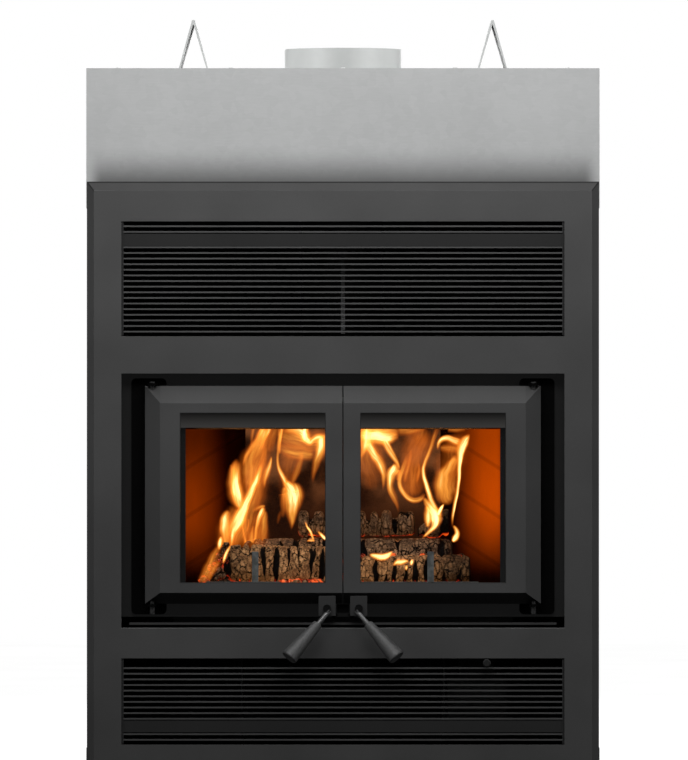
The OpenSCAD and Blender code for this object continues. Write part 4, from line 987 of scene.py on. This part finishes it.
black_paint("latch_paint", tone(40), 0.5, filed=0.0008).coat("left_latch_block", "right_latch_block")
boss_radius = 0.0078
shaft_x = 0.0295
shaft_z = 0.301
shaft_paint = Finish("shaft_paint", {"Roughness": 0.42, "Metallic": 0.4})
shaft_cloud = shaft_paint.grain(300.0, 3.0)
from_axis = ((abs(shaft_paint.axis(0)) - shaft_x) ** 2.0 + (shaft_paint.axis(2) - shaft_z) ** 2.0) ** 0.5
outside_boss = from_axis.rise(boss_radius - 0.0002, boss_radius + 0.0002)
bare = shaft_cloud.rise(0.3, 0.7).blend(tone(96), tone(112))
shaft_paint.feed("Base Color", outside_boss.blend(tone(7), bare))
shaft_paint.bump(shaft_cloud, 0.00003)
shaft_paint.coat("left_handle_shaft", "right_handle_shaft")

grip_satin = Finish("grip_satin", {"Metallic": 0.55, "Roughness": 0.62})
grip_cloud = grip_satin.grain(260.0, 3.0)
grip_satin.feed("Base Color", grip_cloud.rise(0.3, 0.7).blend(tone(84), tone(94)))
grip_satin.bump(grip_cloud, 0.00003, filed=0.001)
grip_satin.coat("left_handle_grip", "right_handle_grip")

# Studio: a pale floor, soft light from above in front, and the camera far in front, so
# that the fireplace shows almost without perspective.

floor_finish = Finish("studio_floor", {"Roughness": 0.9, "Specular IOR Level": 0.0,
                                       "Emission Strength": 1.0})
paper = floor_finish.grain(3.0).rise(0.2, 0.8)
floor_finish.feed("Base Color", paper.blend((0.20, 0.20, 0.20), (0.22, 0.22, 0.22)))
floor_finish.feed("Emission Color", paper.blend((0.97, 0.97, 0.97), (1.0, 1.0, 1.0)))
wide = 9
floor_mesh = bpy.data.meshes.new("studio_floor")
floor_mesh.from_pydata([(-wide, -wide, 0), (wide, -wide, 0), (wide, wide, 0), (-wide, wide, 0)], [],
                       [(0, 1, 2, 3)])
floor_mesh.materials.append(floor_finish.material)
floor = placed("studio_floor", floor_mesh)
floor.visible_diffuse = False
floor.visible_glossy = False


def soft_light(name, power, size, at, to):
    """A soft light of that width and height, in metres, turned towards a point."""
    lamp = bpy.data.lights.new(name, "AREA")
    lamp.energy = power
    lamp.shape = "RECTANGLE"
    lamp.size, lamp.size_y = size
    holder = placed(name, lamp)
    holder.location = at
    holder.rotation_euler = (Vector(to) - Vector(at)).to_track_quat("-Z", "Y").to_euler()


soft_light("key", 45, (2.6, 0.8), (0, -1.83, 2.17), (0, -0.3, 1.0))
soft_light("left_strip", 14, (0.5, 2.4), (-2.6, -1.6, 1.5), (0, 0, 1.0))
soft_light("right_strip", 14, (0.5, 2.4), (2.6, -1.6, 1.5), (0, 0, 1.0))
soft_light("back", 50, (2.6, 2.0), (0, 3.4, 1.9), (0, 0.3, 0.7))
soft_light("left_rim", 13, (0.5, 0.5), (-0.9, 0.55, 2.1), (0, 0, 1.3))
soft_light("right_rim", 13, (0.5, 0.5), (0.9, 0.55, 2.1), (0, 0, 1.3))

fire_y = -0.09
for i, (x, z) in enumerate([(-0.19, 0.5), (0.05, 0.53), (0.19, 0.5)]):
    fire_light = bpy.data.lights.new(f"fire_glow_{i}", "POINT")
    fire_light.energy = 0.25
    fire_light.color = (1.0, 0.42, 0.12)
    fire_light.shadow_soft_size = 0.05
    placed(f"fire_glow_{i}", fire_light).location = (x, fire_y, z)

sky = bpy.data.worlds.new("studio")
sky.use_nodes = True
bpy.context.scene.world = sky
tree = sky.node_tree
backdrop = tree.nodes["Background"]
seen = tree.nodes.new("ShaderNodeLightPath")
shade = tree.nodes.new("ShaderNodeMix")
shade.data_type = "RGBA"
a, b = [s for s in shade.inputs if s.enabled][1:]
a.default_value = (0.035, 0.035, 0.035, 1)
b.default_value = (1, 1, 1, 1)
tree.links.new(seen.outputs["Is Camera Ray"], shade.inputs[0])
tree.links.new([s for s in shade.outputs if s.enabled][0], backdrop.inputs["Color"])

view = bpy.data.cameras.new("camera")
view.lens = 483
view.sensor_width = 36
view.clip_end = 60
camera = placed("camera", view)
camera.location = (0.002, face_y - eye_distance, eye_height)
camera.rotation_euler = (math.pi / 2, 0, 0)
bpy.context.scene.camera = camera
bpy.context.scene.view_settings.view_transform = "Standard"
bpy.context.scene.cycles.transparent_max_bounces = 40
